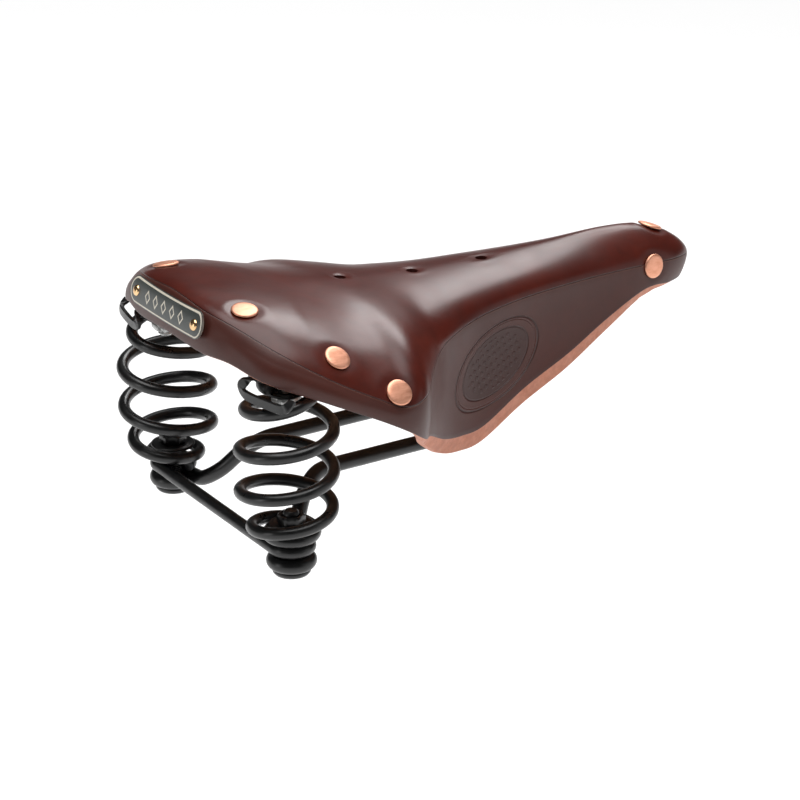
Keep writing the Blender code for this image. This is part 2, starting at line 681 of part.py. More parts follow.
# Springs
eye_z = -EYE_DROP
bar_z = eye_z + RAIL_DIAMETER / 2 + GAP + CROSSBAR_DIAMETER / 2
low_eye_z = bar_z + CROSSBAR_DIAMETER / 2 + GAP + SPRING_WIRE / 2
coil_radius = (SPRING_OUTER - SPRING_WIRE) / 2
rise = TOP_EYE_HEIGHT - low_eye_z
eye = SPRING_EYE_RADIUS
# Turns from a point in the top coil, share of the way to the full radius, share of the drop.
FULL_TURNS = rise / SPRING_PITCH - 1.71
COIL = ((-1.2, 0, 0), (-1, 0, 0), (-0.75, 0.05, 0.006), (-0.5, 0.3, 0.05), (-0.25, 0.5, 0.128), (0, 0.82, 0.19),
        (0.3, 1, 0.266), (FULL_TURNS, 1, 0.7916), (FULL_TURNS + 0.35, 0.77, 0.874), (FULL_TURNS + 0.6, 0.62, 0.932),
        (FULL_TURNS + 0.85, 0.45, 0.978), (FULL_TURNS + 1.1, 0.1, 0.998), (FULL_TURNS + 1.25, 0, 1),
        (FULL_TURNS + 1.75, 0, 1))
turns = np.array([c[0] for c in COIL])
grow = np.array([c[1] for c in COIL])
fall = np.array([c[2] for c in COIL])


def ease(t, values):
    """Smooth values between the coil's turning points."""
    d = np.gradient(values, turns)
    for k in range(len(values) - 1):
        if abs(values[k + 1] - values[k]) < 1e-9:
            d[k] = d[k + 1] = 0
    i = int(np.clip(np.searchsorted(turns, t) - 1, 0, len(turns) - 2))
    w = turns[i + 1] - turns[i]
    x = (t - turns[i]) / w
    return ((2 * x**3 - 3 * x**2 + 1) * values[i] + (x**3 - 2 * x**2 + x) * w * d[i]
            + (3 * x**2 - 2 * x**3) * values[i + 1] + (x**3 - x**2) * w * d[i + 1])


COIL_TURNED = -123.3  # degrees, where the coil's count of turns starts
for side, tag in ((1, "left"), (-1, "right")):
    path = []
    steps = int((turns[-1] - turns[0]) * 20)
    for k in range(steps + 1):
        t = turns[0] + (turns[-1] - turns[0]) * k / steps
        a = math.radians(COIL_TURNED + 360 * t)
        radius = eye + (coil_radius - eye) * ease(t, grow)
        z = TOP_EYE_HEIGHT - rise * ease(t, fall)
        forward = LOWER_BOLT_FORWARD * (1 - ease(t, grow)) if t > 1 else 0
        path.append(pt(forward + radius * math.cos(a), side * (spring_y + radius * math.sin(a)), z))
    finish(tube(path, SPRING_WIRE / 2, 8), f"{tag}_spring", BLACK)

# Rails: an eye round the lower bolt, in and up to the clamp zone, then up to the yoke
rail_y = RAIL_SPACING / 2
eye_radius = EYE_INNER + RAIL_DIAMETER / 2
lower_x = LOWER_BOLT_FORWARD
yoke_start = YOKE_X[0] * LENGTH_SCALE
yoke_end = YOKE_X[1] * LENGTH_SCALE
yoke_rail_y = YOKE_RAIL_Y * WIDTH_SCALE
for side, tag in ((1, "left"), (-1, "right")):
    ring = [(x, y, eye_z) for x, y in circle(lower_x, spring_y, eye_radius, -82 + 360, 20, 16)]
    tail = [(lower_x + eye_radius + 0.4, spring_y - 4, eye_z), (lower_x + eye_radius + 2, spring_y - 11, eye_z + 0.8),
            (lower_x + eye_radius + 7, spring_y - 19, eye_z + 7), (24, rail_y + 5.5, -6.5), (33, rail_y + 1.2, -1),
            (RAIL_STRAIGHT[0], rail_y, 0)]
    run = [(RAIL_STRAIGHT[1] * LENGTH_SCALE, rail_y, 0), (104 * LENGTH_SCALE, rail_y - 0.6, 1.6),
           (yoke_start - 22, yoke_rail_y + 2.5, axis_z - 16), (yoke_start - 9, yoke_rail_y, axis_z - 2.5),
           (yoke_start + 1, yoke_rail_y, axis_z), (yoke_end - 0.5, yoke_rail_y, axis_z)]
    points = ring[:-1] + smooth_path([ring[-1]] + tail) + smooth_path(run)
    finish(tube([pt(x, side * y, z) for x, y, z in points], RAIL_DIAMETER / 2, 10), f"{tag}_rail", BLACK)

# Yoke that holds both rail ends and the tension bolt
yoke_half = yoke_rail_y + RAIL_DIAMETER / 2 + 1.4
yoke_bm = bmesh.new()
made = bmesh.ops.create_cube(yoke_bm, size=1)
size = Vector(((yoke_end - yoke_start) * MM, 2 * yoke_half * MM, YOKE_HEIGHT * MM))
bmesh.ops.scale(yoke_bm, vec=size, verts=made["verts"])
yoke = finish(yoke_bm, "rail_yoke", BLACK, False, pt((yoke_start + yoke_end) / 2, 0, axis_z))
for name, y, radius in (("left", yoke_rail_y, RAIL_DIAMETER / 2), ("right", -yoke_rail_y, RAIL_DIAMETER / 2),
                        ("bolt", 0, TENSION_BOLT_DIAMETER / 2)):
    hole = bmesh.new()
    rod_bm(hole, radius + HOLE_CLEARANCE, pt(yoke_start - 5, y, axis_z), pt(yoke_end + 5, y, axis_z), 20)
    cut(yoke, hole, f"yoke_hole_{name}")

# Tension bolt and nut, lying along X
ALONG_X = UP.rotation_difference(Vector((1, 0, 0)))
bolt_start = TENSION_BOLT_START * LENGTH_SCALE
shank_length = head_end - BOLT_HEAD_LENGTH - bolt_start
r = TENSION_BOLT_DIAMETER / 2
head = BOLT_HEAD_RADIUS
full_length = shank_length + BOLT_HEAD_LENGTH
profile = ((0, 0), (r - 0.8, 0), (r, 0.8), (r, shank_length), (head, shank_length), (head, full_length - 1.5),
           (head - 1.8, full_length), (0, full_length))
finish(turned(profile, 16), "tension_bolt", ZINC, True, pt(bolt_start, 0, axis_z), ALONG_X)
finish(hex_nut(TENSION_NUT_FLATS, TENSION_NUT_HEIGHT, r + HOLE_CLEARANCE), "tension_nut", ZINC, False,
       pt(yoke_end + GAP, 0, axis_z), ALONG_X)

# Crossbar: a loop round each lower bolt and a straight bar behind them
loop_radius = LOOP_INNER + CROSSBAR_DIAMETER / 2
left_loop = [(x, y, bar_z) for x, y in circle(lower_x, spring_y, loop_radius, -60, 180, 16)]
right_loop = [(x, -y, z) for x, y, z in left_loop][::-1]
straight = [(lower_x - loop_radius, y, bar_z) for y in np.linspace(spring_y, -spring_y, 6)[1:-1]]
bar = [pt(*p) for p in left_loop + straight + right_loop]
finish(tube(bar, CROSSBAR_DIAMETER / 2, 8), "crossbar", BLACK)

# Bolts, washers and nuts at both ends of each spring
washer_low = low_eye_z + SPRING_WIRE / 2 + GAP
nut_low = washer_low + WASHER_THICKNESS + GAP
bolt_low = eye_z - RAIL_DIAMETER / 2 - GAP
washer_top = TOP_EYE_HEIGHT - SPRING_WIRE / 2 - GAP
nut_top = washer_top - WASHER_THICKNESS - GAP
bolt_top = flange_low + FLANGE_THICKNESS + GAP
HEAD_HEIGHT = 2.6
r = BOLT_DIAMETER / 2
for side, tag in ((1, "left"), (-1, "right")):
    spot = pt(lower_x, side * spring_y, 0)
    long = nut_low + NUT_HEIGHT + 1.8 - bolt_low
    profile = ((0, -HEAD_HEIGHT), (7, -HEAD_HEIGHT), (8.5, -HEAD_HEIGHT + 1), (8.5, 0), (r, 0), (r, long - 1), (r - 1, long),
               (0, long))
    finish(turned(profile, 16), f"{tag}_lower_bolt", BLACK, True, spot + UP * bolt_low * MM)
    ring = ((r + HOLE_CLEARANCE, 0), (WASHER_OUTER / 2, 0), (WASHER_OUTER / 2, WASHER_THICKNESS),
            (r + HOLE_CLEARANCE, WASHER_THICKNESS))
    finish(turned(ring, 16), f"{tag}_lower_washer", BLACK, False, spot + UP * washer_low * MM)
    finish(hex_nut(NUT_ACROSS_FLATS, NUT_HEIGHT, r + HOLE_CLEARANCE), f"{tag}_lower_nut", BLACK, False,
           spot + UP * nut_low * MM)
    spot = pt(0, side * spring_y, 0)
    long = bolt_top - (nut_top - NUT_HEIGHT) + 3
    profile = ((0, -long), (r - 1, -long), (r, -long + 1), (r, 0), (5, 0), (5, 0.8), (4, 1.5), (0, 1.5))
    finish(turned(profile, 16), f"{tag}_upper_bolt", ZINC, True, spot + UP * bolt_top * MM)
    ring = ((r + HOLE_CLEARANCE, 0), (TOP_WASHER_OUTER / 2, 0), (TOP_WASHER_OUTER / 2, WASHER_THICKNESS),
            (r + HOLE_CLEARANCE, WASHER_THICKNESS))
    finish(turned(ring, 16), f"{tag}_upper_washer", BLACK, False, spot + UP * (washer_top - WASHER_THICKNESS) * MM)
    finish(hex_nut(NUT_ACROSS_FLATS, NUT_HEIGHT, r + HOLE_CLEARANCE), f"{tag}_upper_nut", ZINC, False,
           spot + UP * (nut_top - NUT_HEIGHT) * MM)

# Bag loops: a tongue under each lug, clamped by the upper bolt, and a flat hoop that hangs from it
HOOP = ((-12.5, 49, 63.8), (-15.2, 48, 63.2), (-17, 46.6, 61.6), (-17.3, 45.8, 59.2), (-17, 47.6, 57.2),
        (-16.4, 52, 56.6), (-15, 60, 56.6), (-13, 68.6, 56.6), (-11.8, 71.6, 57.3), (-10.4, 72.4, 58.8), (-8.6, 72.2, 60.3))
for side, tag in ((1, "left"), (-1, "right")):
    tongue = circle(0, spring_y, 8.5, -110, 110, 14) + [(-13.8, spring_y + 0.6), (-13.8, spring_y - 7.4)]
    tongue = [(x, side * y) for x, y in tongue]
    loop = finish(prism(tongue, tongue_low, tongue_low + LOOP_PLATE), f"{tag}_bag_loop", BLACK, False)
    hoop = bmesh.new()
    line = smooth_path([(x, y + spring_y - 52.4, z + tongue_low - 62.9) for x, y, z in HOOP], 2.5)
    line = [pt(x, side * y, z) for x, y, z in line]
    across = Vector((1, side * -0.1, 0)).normalized()
    rings = []
    for k, p in enumerate(line):
        t = (line[min(k + 1, len(line) - 1)] - line[max(k - 1, 0)]).normalized()
        thick = across if k > 4 else (across * 0.5 + Vector((0, 0, 0.87)) * (1 - k / 5)).normalized()
        thick = (thick - t * thick.dot(t)).normalized()
        wide = thick.cross(t)
        corner = [(1, 1), (1, -1), (-1, -1), (-1, 1)]
        rings.append([hoop.verts.new(p + (thick * a * LOOP_PLATE + wide * b * LOOP_WIDTH) * MM / 2) for a, b in corner])
    for low, high in zip(rings, rings[1:]):
        for k in range(4):
            hoop.faces.new((low[k], low[(k + 1) % 4], high[(k + 1) % 4], high[k]))
    hoop.faces.new(rings[0][::-1])
    hoop.faces.new(rings[-1])
    boolean(loop, hoop, f"{tag}_hoop", "UNION")
    hole = bmesh.new()
    rod_bm(hole, BOLT_DIAMETER / 2 + HOLE_CLEARANCE, pt(0, side * spring_y, tongue_low - 4),
           pt(0, side * spring_y, tongue_low + 6), 16)
    cut(loop, hole, f"{tag}_loop_hole")
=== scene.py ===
"""Looks of a sprung leather bicycle saddle. Sizes below are in millimetres, measured from the spring line."""
import math

import bmesh
import bpy
import numpy as np
from mathutils import Matrix, Vector


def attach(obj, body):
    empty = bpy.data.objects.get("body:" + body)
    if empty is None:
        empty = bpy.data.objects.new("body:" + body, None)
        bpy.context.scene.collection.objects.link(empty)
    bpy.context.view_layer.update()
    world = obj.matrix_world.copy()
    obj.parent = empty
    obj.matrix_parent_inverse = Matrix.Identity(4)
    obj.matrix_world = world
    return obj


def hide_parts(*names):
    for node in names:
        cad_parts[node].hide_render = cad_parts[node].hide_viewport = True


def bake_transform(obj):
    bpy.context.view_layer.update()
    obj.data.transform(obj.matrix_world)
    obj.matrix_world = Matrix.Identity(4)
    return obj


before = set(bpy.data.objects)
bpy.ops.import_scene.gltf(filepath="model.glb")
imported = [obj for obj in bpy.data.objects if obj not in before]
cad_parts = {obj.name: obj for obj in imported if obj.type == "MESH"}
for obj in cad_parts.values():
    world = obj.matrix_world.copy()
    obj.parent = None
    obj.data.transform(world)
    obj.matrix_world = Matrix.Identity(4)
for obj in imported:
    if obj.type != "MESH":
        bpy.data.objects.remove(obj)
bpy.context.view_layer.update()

MM = 0.001
CLAMP_FROM_SPRINGS = 64.0

# Half outline of the hide, rear centre to nose tip: rib start on the spine, crease x, y, z,
# lower edge x, y, z, slope at the crease, bulge of the panel, width of the skived edge.
HIDE_STATIONS = (
    (4, -24, 0, 90, -26.8, 0, 69.5, 38, 2.0, 0.8),
    (5, -22.6, 25, 87.5, -25.7, 26, 68.3, 40, 2.0, 0.8),
    (8, -16.8, 42, 83.5, -22.4, 44, 68.6, 44, 2.2, 0.8),
    (16, -7, 61, 76, -14.5, 61, 63.4, 48, 2.4, 0.8),
    (28, 9.5, 73, 65, 6.5, 74, 54.5, 52, 2, 0.8),
    (40, 28, 80, 55, 28, 80.5, 44.5, 55, 1.5, 0.8),
    (48, 40, 84, 50, 42, 83, 37, 58, 1.2, 0.8),
    (57, 52, 81, 51.5, 54, 77, 28.5, 60, 1.5, 1.3),
    (68, 65, 66, 54.5, 66, 63, 18.5, 62, 0.5, 5),
    (81, 79, 51, 56, 82, 51, 7, 64, -1, 7),
    (94, 92, 42.5, 58, 96, 44, 2.3, 66, -2, 7.5),
    (112, 112, 34, 60, 112, 38.5, 1.6, 67, -2.2, 7.5),
    (139, 139, 28, 61.3, 138, 32.6, 12, 67, -2, 7.5),
    (170, 171, 23, 61.2, 165, 28.8, 22, 67, -1.2, 7.5),
    (192, 196, 20, 60.5, 190, 24.2, 33, 66, -0.6, 7),
    (208, 220, 17.6, 59.5, 216, 19, 43, 66, 0, 5),
    (217, 238, 15, 58.5, 234, 14, 44.5, 66, 0.6, 2),
    (222, 249.5, 8.6, 57.5, 245.5, 8, 44.8, 64, 0.8, 1),
    (224, 253.5, 0, 57, 248.5, 0, 44.8, 63, 0.8, 0.8),
)
SPINE = ((-30, 90.5), (4, 88), (30, 83.4), (60, 78.6), (98, 74.4), (140, 73.4), (175, 74), (205, 75.2),
         (221, 74), (235, 70.5))
HIDE_THICKNESS = 5.2
CROWN = 0.3
REAR_RIVETS = ((-8.5, 34.2), (17, 66), (38.5, 80))
NOSE_TOP_RIVET = (232.7, 0)
NOSE_SIDE_RIVET = (222, 16.5, 57.5)
VENTS = (59.5, 97.5, 135.2)
VENT_RADIUS = 2.7
EMBLEM = (121.0, 35.0, 20.0, 29.0, 16.5)  # centre x and z, tilt in degrees, half length, half height
LOZENGE_FREQUENCY = 900  # radians per metre, along both diagonals of the emblem's pattern


def at(x, y, z):
    """A point measured from the spring line, in the frame of the whole saddle, in metres."""
    return Vector(((x - CLAMP_FROM_SPRINGS) * MM, y * MM, z * MM))


# ---------------------------------------------------------------- finishes
class Finish:
    """A node-based material, put together by short calls."""

    def __init__(self, name):
        self.mat = bpy.data.materials.new(name)
        self.mat.use_nodes = True
        self.nodes = self.mat.node_tree.nodes
        self.links = self.mat.node_tree.links
        self.shader = self.nodes["Principled BSDF"]
        self.place = self.nodes.new("ShaderNodeTexCoord").outputs["Object"]
        self.bump = None

    def feed(self, socket, value):
        if isinstance(value, bpy.types.NodeSocket):
            self.links.new(value, socket)
        elif value is not None:
            socket.default_value = value

    def sum(self, kind, a, b=None):
        node = self.nodes.new("ShaderNodeMath")
        node.operation = kind
        for socket, value in zip(node.inputs, (a, b)):
            self.feed(socket, value)
        return node.outputs[0]

    def step(self, value, low, high, out_low=0.0, out_high=1.0):
        node = self.nodes.new("ShaderNodeMapRange")
        node.interpolation_type = "SMOOTHSTEP"
        for name, v in (("Value", value), ("From Min", low), ("From Max", high),
                        ("To Min", out_low), ("To Max", out_high)):
            self.feed(node.inputs[name], v)
        return node.outputs["Result"]

    def noise(self, scale, detail=3.0, rough=0.5, stretch=None, distort=0.0):
        node = self.nodes.new("ShaderNodeTexNoise")
        node.inputs["Scale"].default_value = scale
        node.inputs["Detail"].default_value = detail
        node.inputs["Roughness"].default_value = rough
        node.inputs["Distortion"].default_value = distort
        self.feed(node.inputs["Vector"], self.mapped(stretch))
        return node.outputs["Fac"]

    def mapped(self, stretch=None):
        if stretch is None:
            return self.place
        node = self.nodes.new("ShaderNodeMapping")
        node.inputs["Scale"].default_value = stretch
        self.links.new(self.place, node.inputs["Vector"])
        return node.outputs[0]

    def cells(self, scale):
        node = self.nodes.new("ShaderNodeTexVoronoi")
        node.inputs["Scale"].default_value = scale
        self.feed(node.inputs["Vector"], self.place)
        return node.outputs["Distance"]

    def blend(self, share, a, b):
        node = self.nodes.new("ShaderNodeMix")
        node.data_type = "RGBA"
        self.feed(node.inputs["Factor"], share)
        for socket, value in ((node.inputs[6], a), (node.inputs[7], b)):
            self.feed(socket, (*value, 1) if isinstance(value, tuple) else value)
        return node.outputs[2]

    def attribute(self, name):
        node = self.nodes.new("ShaderNodeAttribute")
        node.attribute_name = name
        return node.outputs["Fac"]

    def axes(self):
        node = self.nodes.new("ShaderNodeSeparateXYZ")
        self.links.new(self.place, node.inputs[0])
        return node.outputs

    def height(self, value, distance, strength=1.0):
        node = self.nodes.new("ShaderNodeBump")
        node.inputs["Strength"].default_value = strength
        node.inputs["Distance"].default_value = distance
        self.feed(node.inputs["Height"], value)
        if self.bump is not None:
            self.links.new(self.bump, node.inputs["Normal"])
        self.bump = node.outputs["Normal"]

    def done(self, colour, rough, metallic=0.0, **fixed):
        if isinstance(colour, tuple):
            colour = (*colour, 1)
        self.feed(self.shader.inputs["Base Color"], colour)
        self.feed(self.shader.inputs["Roughness"], rough)
        self.shader.inputs["Metallic"].default_value = metallic
        for name, value in fixed.items():
            self.shader.inputs[name.replace("_", " ")].default_value = value
        if self.bump is not None:
            self.links.new(self.bump, self.shader.inputs["Normal"])
        return self.mat


def emblem_marks(finish):
    """Depth of the pressed oval on both skirts, and its darkened field."""
    ax = finish.axes()
    cx, cz, tilt, half_l, half_h = EMBLEM
    dx = finish.sum("SUBTRACT", ax[0], (cx - CLAMP_FROM_SPRINGS) * MM)
    dz = finish.sum("SUBTRACT", ax[2], cz * MM)
    c, s = math.cos(math.radians(tilt)), math.sin(math.radians(tilt))
    along = finish.sum("ADD", finish.sum("MULTIPLY", dx, c), finish.sum("MULTIPLY", dz, s))
    across = finish.sum("SUBTRACT", finish.sum("MULTIPLY", dz, c), finish.sum("MULTIPLY", dx, s))
    u = finish.sum("DIVIDE", along, half_l * MM)
    v = finish.sum("DIVIDE", across, half_h * MM)
    r = finish.sum("SQRT", finish.sum("ADD", finish.sum("MULTIPLY", u, u), finish.sum("MULTIPLY", v, v)))
    side = finish.step(finish.sum("ABSOLUTE", ax[1]), 0.018, 0.022)

    def ring(radius, width):
        return finish.step(finish.sum("ABSOLUTE", finish.sum("SUBTRACT", r, radius)), 0, width, 1, 0)

    field = finish.step(r, 0.76, 0.80, 1, 0)
    # Crossed rows of small lozenges inside the oval
    a = finish.sum("SINE", finish.sum("MULTIPLY", finish.sum("ADD", along, across), LOZENGE_FREQUENCY))
    b = finish.sum("SINE", finish.sum("MULTIPLY", finish.sum("SUBTRACT", along, across), LOZENGE_FREQUENCY))
    lozenge = finish.step(finish.sum("MULTIPLY", a, b), 0.15, 0.6)
    inner = finish.step(r, 0.62, 0.66, 1, 0)
    depth = finish.sum("MULTIPLY", ring(1.0, 0.035), -1.0)
    depth = finish.sum("ADD", depth, finish.sum("MULTIPLY", ring(0.94, 0.022), -0.5))
    depth = finish.sum("ADD", depth, finish.sum("MULTIPLY", ring(0.78, 0.03), -0.7))
    depth = finish.sum("ADD", depth, finish.sum("MULTIPLY", field, -0.45))
    depth = finish.sum("ADD", depth, finish.sum("MULTIPLY", finish.sum("MULTIPLY", lozenge, inner), 0.5))
    depth = finish.sum("MULTIPLY", depth, side)
    dark = finish.sum("MULTIPLY", finish.sum("MULTIPLY", field, side), 0.55)
    lines = finish.sum("MULTIPLY", finish.sum("MAXIMUM", ring(1.0, 0.03), ring(0.78, 0.03)), side)
    return depth, finish.sum("MAXIMUM", dark, finish.sum("MULTIPLY", lines, 0.75))


def waxed_hide():
    f = Finish("waxed_hide")
    below = f.attribute("below_crease")  # millimetres down from the crease, negative above it
    edge = f.attribute("edge_near")
    cloud = f.noise(22, 4, 0.6)
    mottle = f.noise(160, 3, 0.6)
    colour = f.blend(f.step(cloud, 0.3, 0.7), (0.060, 0.0066, 0.0030), (0.088, 0.0105, 0.0046))
    colour = f.blend(f.step(mottle, 0.35, 0.75, 0, 0.35), colour, (0.036, 0.0065, 0.0040))
    skirt = f.step(below, -0.6, 1.2)
    # Painted reflection: below the crease the skirt panels take a greyer, paler brown, standing in for the pale
    # floor mirrored in them
    colour = f.blend(f.sum("MULTIPLY", skirt, 0.55), colour, (0.062, 0.020, 0.014))
    colour = f.blend(f.step(edge, 0.0, 1.0, 0.0, 0.35), colour, (0.030, 0.008, 0.006))
    depth, dark = emblem_marks(f)
    colour = f.blend(dark, colour, (0.026, 0.0085, 0.0070))
    groove = f.step(f.sum("ABSOLUTE", f.sum("SUBTRACT", below, 0.3)), 0.0, 0.42, 1, 0)
    lip = f.step(f.sum("ABSOLUTE", f.sum("SUBTRACT", below, 0.95)), 0.0, 0.35, 1, 0)
    # Painted shade: the incised groove just below the crease is darkened nearly to black, standing in for the
    # shadow inside it
    colour = f.blend(f.sum("MULTIPLY", groove, 0.6), colour, (0.018, 0.005, 0.004))
    # Painted highlight: a thin lighter stripe along the groove's lower lip, standing in for light caught by the
    # rounded ridge
    colour = f.blend(f.sum("MULTIPLY", lip, 0.22), colour, (0.20, 0.09, 0.06))
    rough = f.step(f.noise(35, 4, 0.65), 0.25, 0.8, 0.29, 0.38)
    rough = f.sum("ADD", rough, f.sum("MULTIPLY", skirt, 0.14))
    f.height(f.noise(9, 2, 0.5, (1.0, 2.2, 1.0)), 0.0014, 0.3)
    f.height(f.noise(60, 3, 0.5, (0.45, 1.7, 1.0), 0.6), 0.00012, 0.4)
    f.height(f.noise(1100, 3, 0.6), 0.00003, 0.5)
    f.height(f.sum("MULTIPLY", groove, -1.0), 0.00035, 0.9)
    f.height(depth, 0.00042, 1.0)
    return f.done(colour, rough, 0.0, Coat_Weight=0.06, Coat_Roughness=0.2, IOR=1.44)


def raw_edge():
    f = Finish("skived_raw_edge")
    colour = f.blend(f.step(f.noise(320, 4, 0.7), 0.3, 0.75), (0.47, 0.165, 0.092), (0.60, 0.235, 0.140))
    colour = f.blend(f.step(f.noise(60, 3, 0.6), 0.55, 0.8, 0, 0.4), colour, (0.34, 0.10, 0.05))
    f.height(f.noise(1500, 3, 0.7), 0.00006, 0.6)
    f.height(f.noise(240, 3, 0.6, (0.4, 0.4, 2.0)), 0.0001, 0.5)
    return f.done(colour, f.step(f.noise(200, 2, 0.5), 0.3, 0.7, 0.5, 0.66))


def flesh_side():
    f = Finish("flesh_side_of_the_hide")
    colour = f.blend(f.step(f.noise(120, 5, 0.75), 0.3, 0.75), (0.25, 0.115, 0.058), (0.38, 0.20, 0.11))
    colour = f.blend(f.step(f.noise(18, 3, 0.5), 0.4, 0.75, 0, 0.5), colour, (0.17, 0.075, 0.04))
    f.height(f.noise(900, 4, 0.8), 0.00012, 0.7)
    f.height(f.noise(140, 4, 0.6), 0.0003, 0.5)
    return f.done(colour, 0.86, 0.0, Sheen_Weight=0.15, Sheen_Roughness=0.5)


def black_enamel(name="black_enamel", rough=(0.30, 0.42)):
    f = Finish(name)
    colour = f.blend(f.step(f.noise(90, 3, 0.6), 0.35, 0.7), (0.0050, 0.0050, 0.0053), (0.0090, 0.0088, 0.0087))
    f.height(f.noise(420, 3, 0.5), 0.00004, 0.45)
    f.height(f.noise(2400, 2, 0.5), 0.00001, 0.5)
    roughness = f.step(f.noise(140, 3, 0.6), 0.3, 0.7, *rough)
    return f.done(colour, roughness, 0.0, Coat_Weight=0.12, Coat_Roughness=0.2)


def brushed_copper():
    f = Finish("brushed_copper")
    streak = f.noise(500, 4, 0.75, (0.25, 2.2, 1.0))
    cloud = f.noise(220, 3, 0.6)
    colour = f.blend(f.step(streak, 0.25, 0.75), (0.78, 0.34, 0.21), (0.95, 0.50, 0.345))
    colour = f.blend(f.step(cloud, 0.5, 0.85, 0, 0.45), colour, (0.60, 0.22, 0.13))
    f.height(f.noise(900, 4, 0.8, (0.2, 2.4, 1.0)), 0.00003, 0.8)
    f.height(f.noise(180, 2, 0.5), 0.00012, 0.5)
    return f.done(colour, f.step(streak, 0.2, 0.8, 0.36, 0.56), 0.9)


def gilt():
    f = Finish("gilt_rivet")
    colour = f.blend(f.step(f.noise(300, 3, 0.6), 0.3, 0.7), (0.80, 0.47, 0.22), (0.95, 0.66, 0.36))
    f.height(f.noise(500, 3, 0.6), 0.00005, 0.5)
    return f.done(colour, 0.24, 1.0)


def zinc():
    f = Finish("zinc_plate")
    colour = f.blend(f.step(f.cells(420), 0.1, 0.6), (0.50, 0.50, 0.49), (0.66, 0.66, 0.65))
    f.height(f.noise(700, 3, 0.7), 0.00003, 0.5)
    return f.done(colour, f.step(f.noise(260, 3, 0.6), 0.3, 0.7, 0.26, 0.42), 1.0)


def badge_face():
    """Dark enamel with a thin cream border and five plain cream lozenges."""
    f = Finish("badge_enamel")
    uv = f.nodes.new("ShaderNodeUVMap")
    uv.uv_map = "badge"
    split = f.nodes.new("ShaderNodeSeparateXYZ")
    f.links.new(uv.outputs[0], split.inputs[0])
    along = f.sum("MULTIPLY", f.sum("SUBTRACT", split.outputs[0], 0.5), BADGE_MAP)
    up = f.sum("MULTIPLY", f.sum("SUBTRACT", split.outputs[1], 0.5), BADGE_MAP)
    half_l, half_h = BADGE_LENGTH / 2, BADGE_HEIGHT / 2
    past = f.sum("MAXIMUM", f.sum("SUBTRACT", f.sum("ABSOLUTE", along), half_l - half_h), 0)
    reach = f.sum("SQRT", f.sum("ADD", f.sum("MULTIPLY", past, past), f.sum("MULTIPLY", up, up)))
    inset = f.sum("SUBTRACT", half_h, reach)
    border = f.step(f.sum("ABSOLUTE", f.sum("SUBTRACT", inset, 0.75)), 0.28, 0.4, 1, 0)
    cell = f.sum("ADD", along, LOZENGE_PITCH / 2)
    cell = f.sum("SUBTRACT", f.sum("FLOORED_MODULO", cell, LOZENGE_PITCH), LOZENGE_PITCH / 2)
    gem = f.sum("ADD", f.sum("MULTIPLY", f.sum("ABSOLUTE", cell), 1.15),
                f.sum("MULTIPLY", f.sum("ABSOLUTE", up), 0.9))
    gem = f.sum("SUBTRACT", f.step(gem, 2.5, 2.7, 1, 0), f.step(gem, 1.6, 1.8, 1, 0))
    gem = f.sum("MULTIPLY", gem, f.step(f.sum("ABSOLUTE", along), 18.2, 18.4, 1, 0))
    light = f.sum("MAXIMUM", border, gem)
    field = f.blend(f.step(f.noise(160, 3, 0.6), 0.3, 0.7), (0.043, 0.050, 0.046), (0.062, 0.070, 0.066))
    colour = f.blend(light, field, (0.72, 0.66, 0.55))
    f.height(light, 0.00015, 0.8)
    f.height(f.noise(900, 2, 0.6), 0.00002, 0.5)
    return f.done(colour, f.step(light, 0, 1, 0.34, 0.42), 0.0, Coat_Weight=0.2, Coat_Roughness=0.25)


def steel_edge():
    f = Finish("badge_metal_edge")
    colour = f.blend(f.noise(300, 3, 0.6), (0.35, 0.33, 0.29), (0.55, 0.52, 0.46))
    return f.done(colour, 0.35, 1.0)


BADGE_LENGTH, BADGE_HEIGHT, BADGE_THICKNESS, BADGE_GAP, BADGE_BEND = 62.0, 11.0, 1.0, 0.7, 0.3
BADGE_CENTRE_Z = 80.9
BADGE_RIVET_SPACING = 50.0
BADGE_MAP = 100.0  # millimetres across the badge's UV square
LOZENGE_PITCH = 7.2

HIDE = waxed_hide()
RAW = raw_edge()
FLESH = flesh_side()
ENAMEL = black_enamel()
WIRE_ENAMEL = black_enamel("black_enamel_on_wire", (0.27, 0.38))
COPPER = brushed_copper()
GILT = gilt()
ZINC = zinc()
BADGE_FACE = badge_face()
BADGE_EDGE = steel_edge()


# ---------------------------------------------------------------- making pieces
def piece(bm, name, body, mats, stands_for=(), smooth=True, sharp=40, out=True):
    """Turns a bmesh into a finished piece that rides on a body."""
    if out:
        bmesh.ops.recalc_face_normals(bm, faces=bm.faces)
        if bm.calc_volume(signed=True) < 0:
            bmesh.ops.reverse_faces(bm, faces=bm.faces)
    mesh = bpy.data.meshes.new(name)
    bm.to_mesh(mesh)
    bm.free()
    for mat in mats:
        mesh.materials.append(mat)
    for polygon in mesh.polygons:
        polygon.use_smooth = smooth
    if sharp:
        mesh.set_sharp_from_angle(angle=math.radians(sharp))
    obj = bpy.data.objects.new(name, mesh)
    bpy.context.scene.collection.objects.link(obj)
    if body:
        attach(obj, body)
    if stands_for:
        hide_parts(*stands_for)
    return obj


def lathe(profile, sides=48):
    """A round piece on Z from a profile of radius and height in mm, spun all the way."""
    bm = bmesh.new()
    verts = [bm.verts.new((r * MM, 0, z * MM)) for r, z in profile]
    edges = [bm.edges.new(pair) for pair in zip(verts, verts[1:])]
    if profile[0][0] > 0:
        edges.append(bm.edges.new((verts[-1], verts[0])))
    bmesh.ops.spin(bm, geom=verts + edges, cent=(0, 0, 0), axis=(0, 0, 1), angle=2 * math.pi, steps=sides,
                   use_merge=True)
    bmesh.ops.remove_doubles(bm, verts=bm.verts, dist=1e-6)
    return bm


def broken(bm, edges, width, segments):
    """Rounds off edges by a width in mm."""
    bmesh.ops.bevel(bm, geom=edges, offset=width * MM, segments=segments, profile=0.5, affect="EDGES",
                    material=-1)


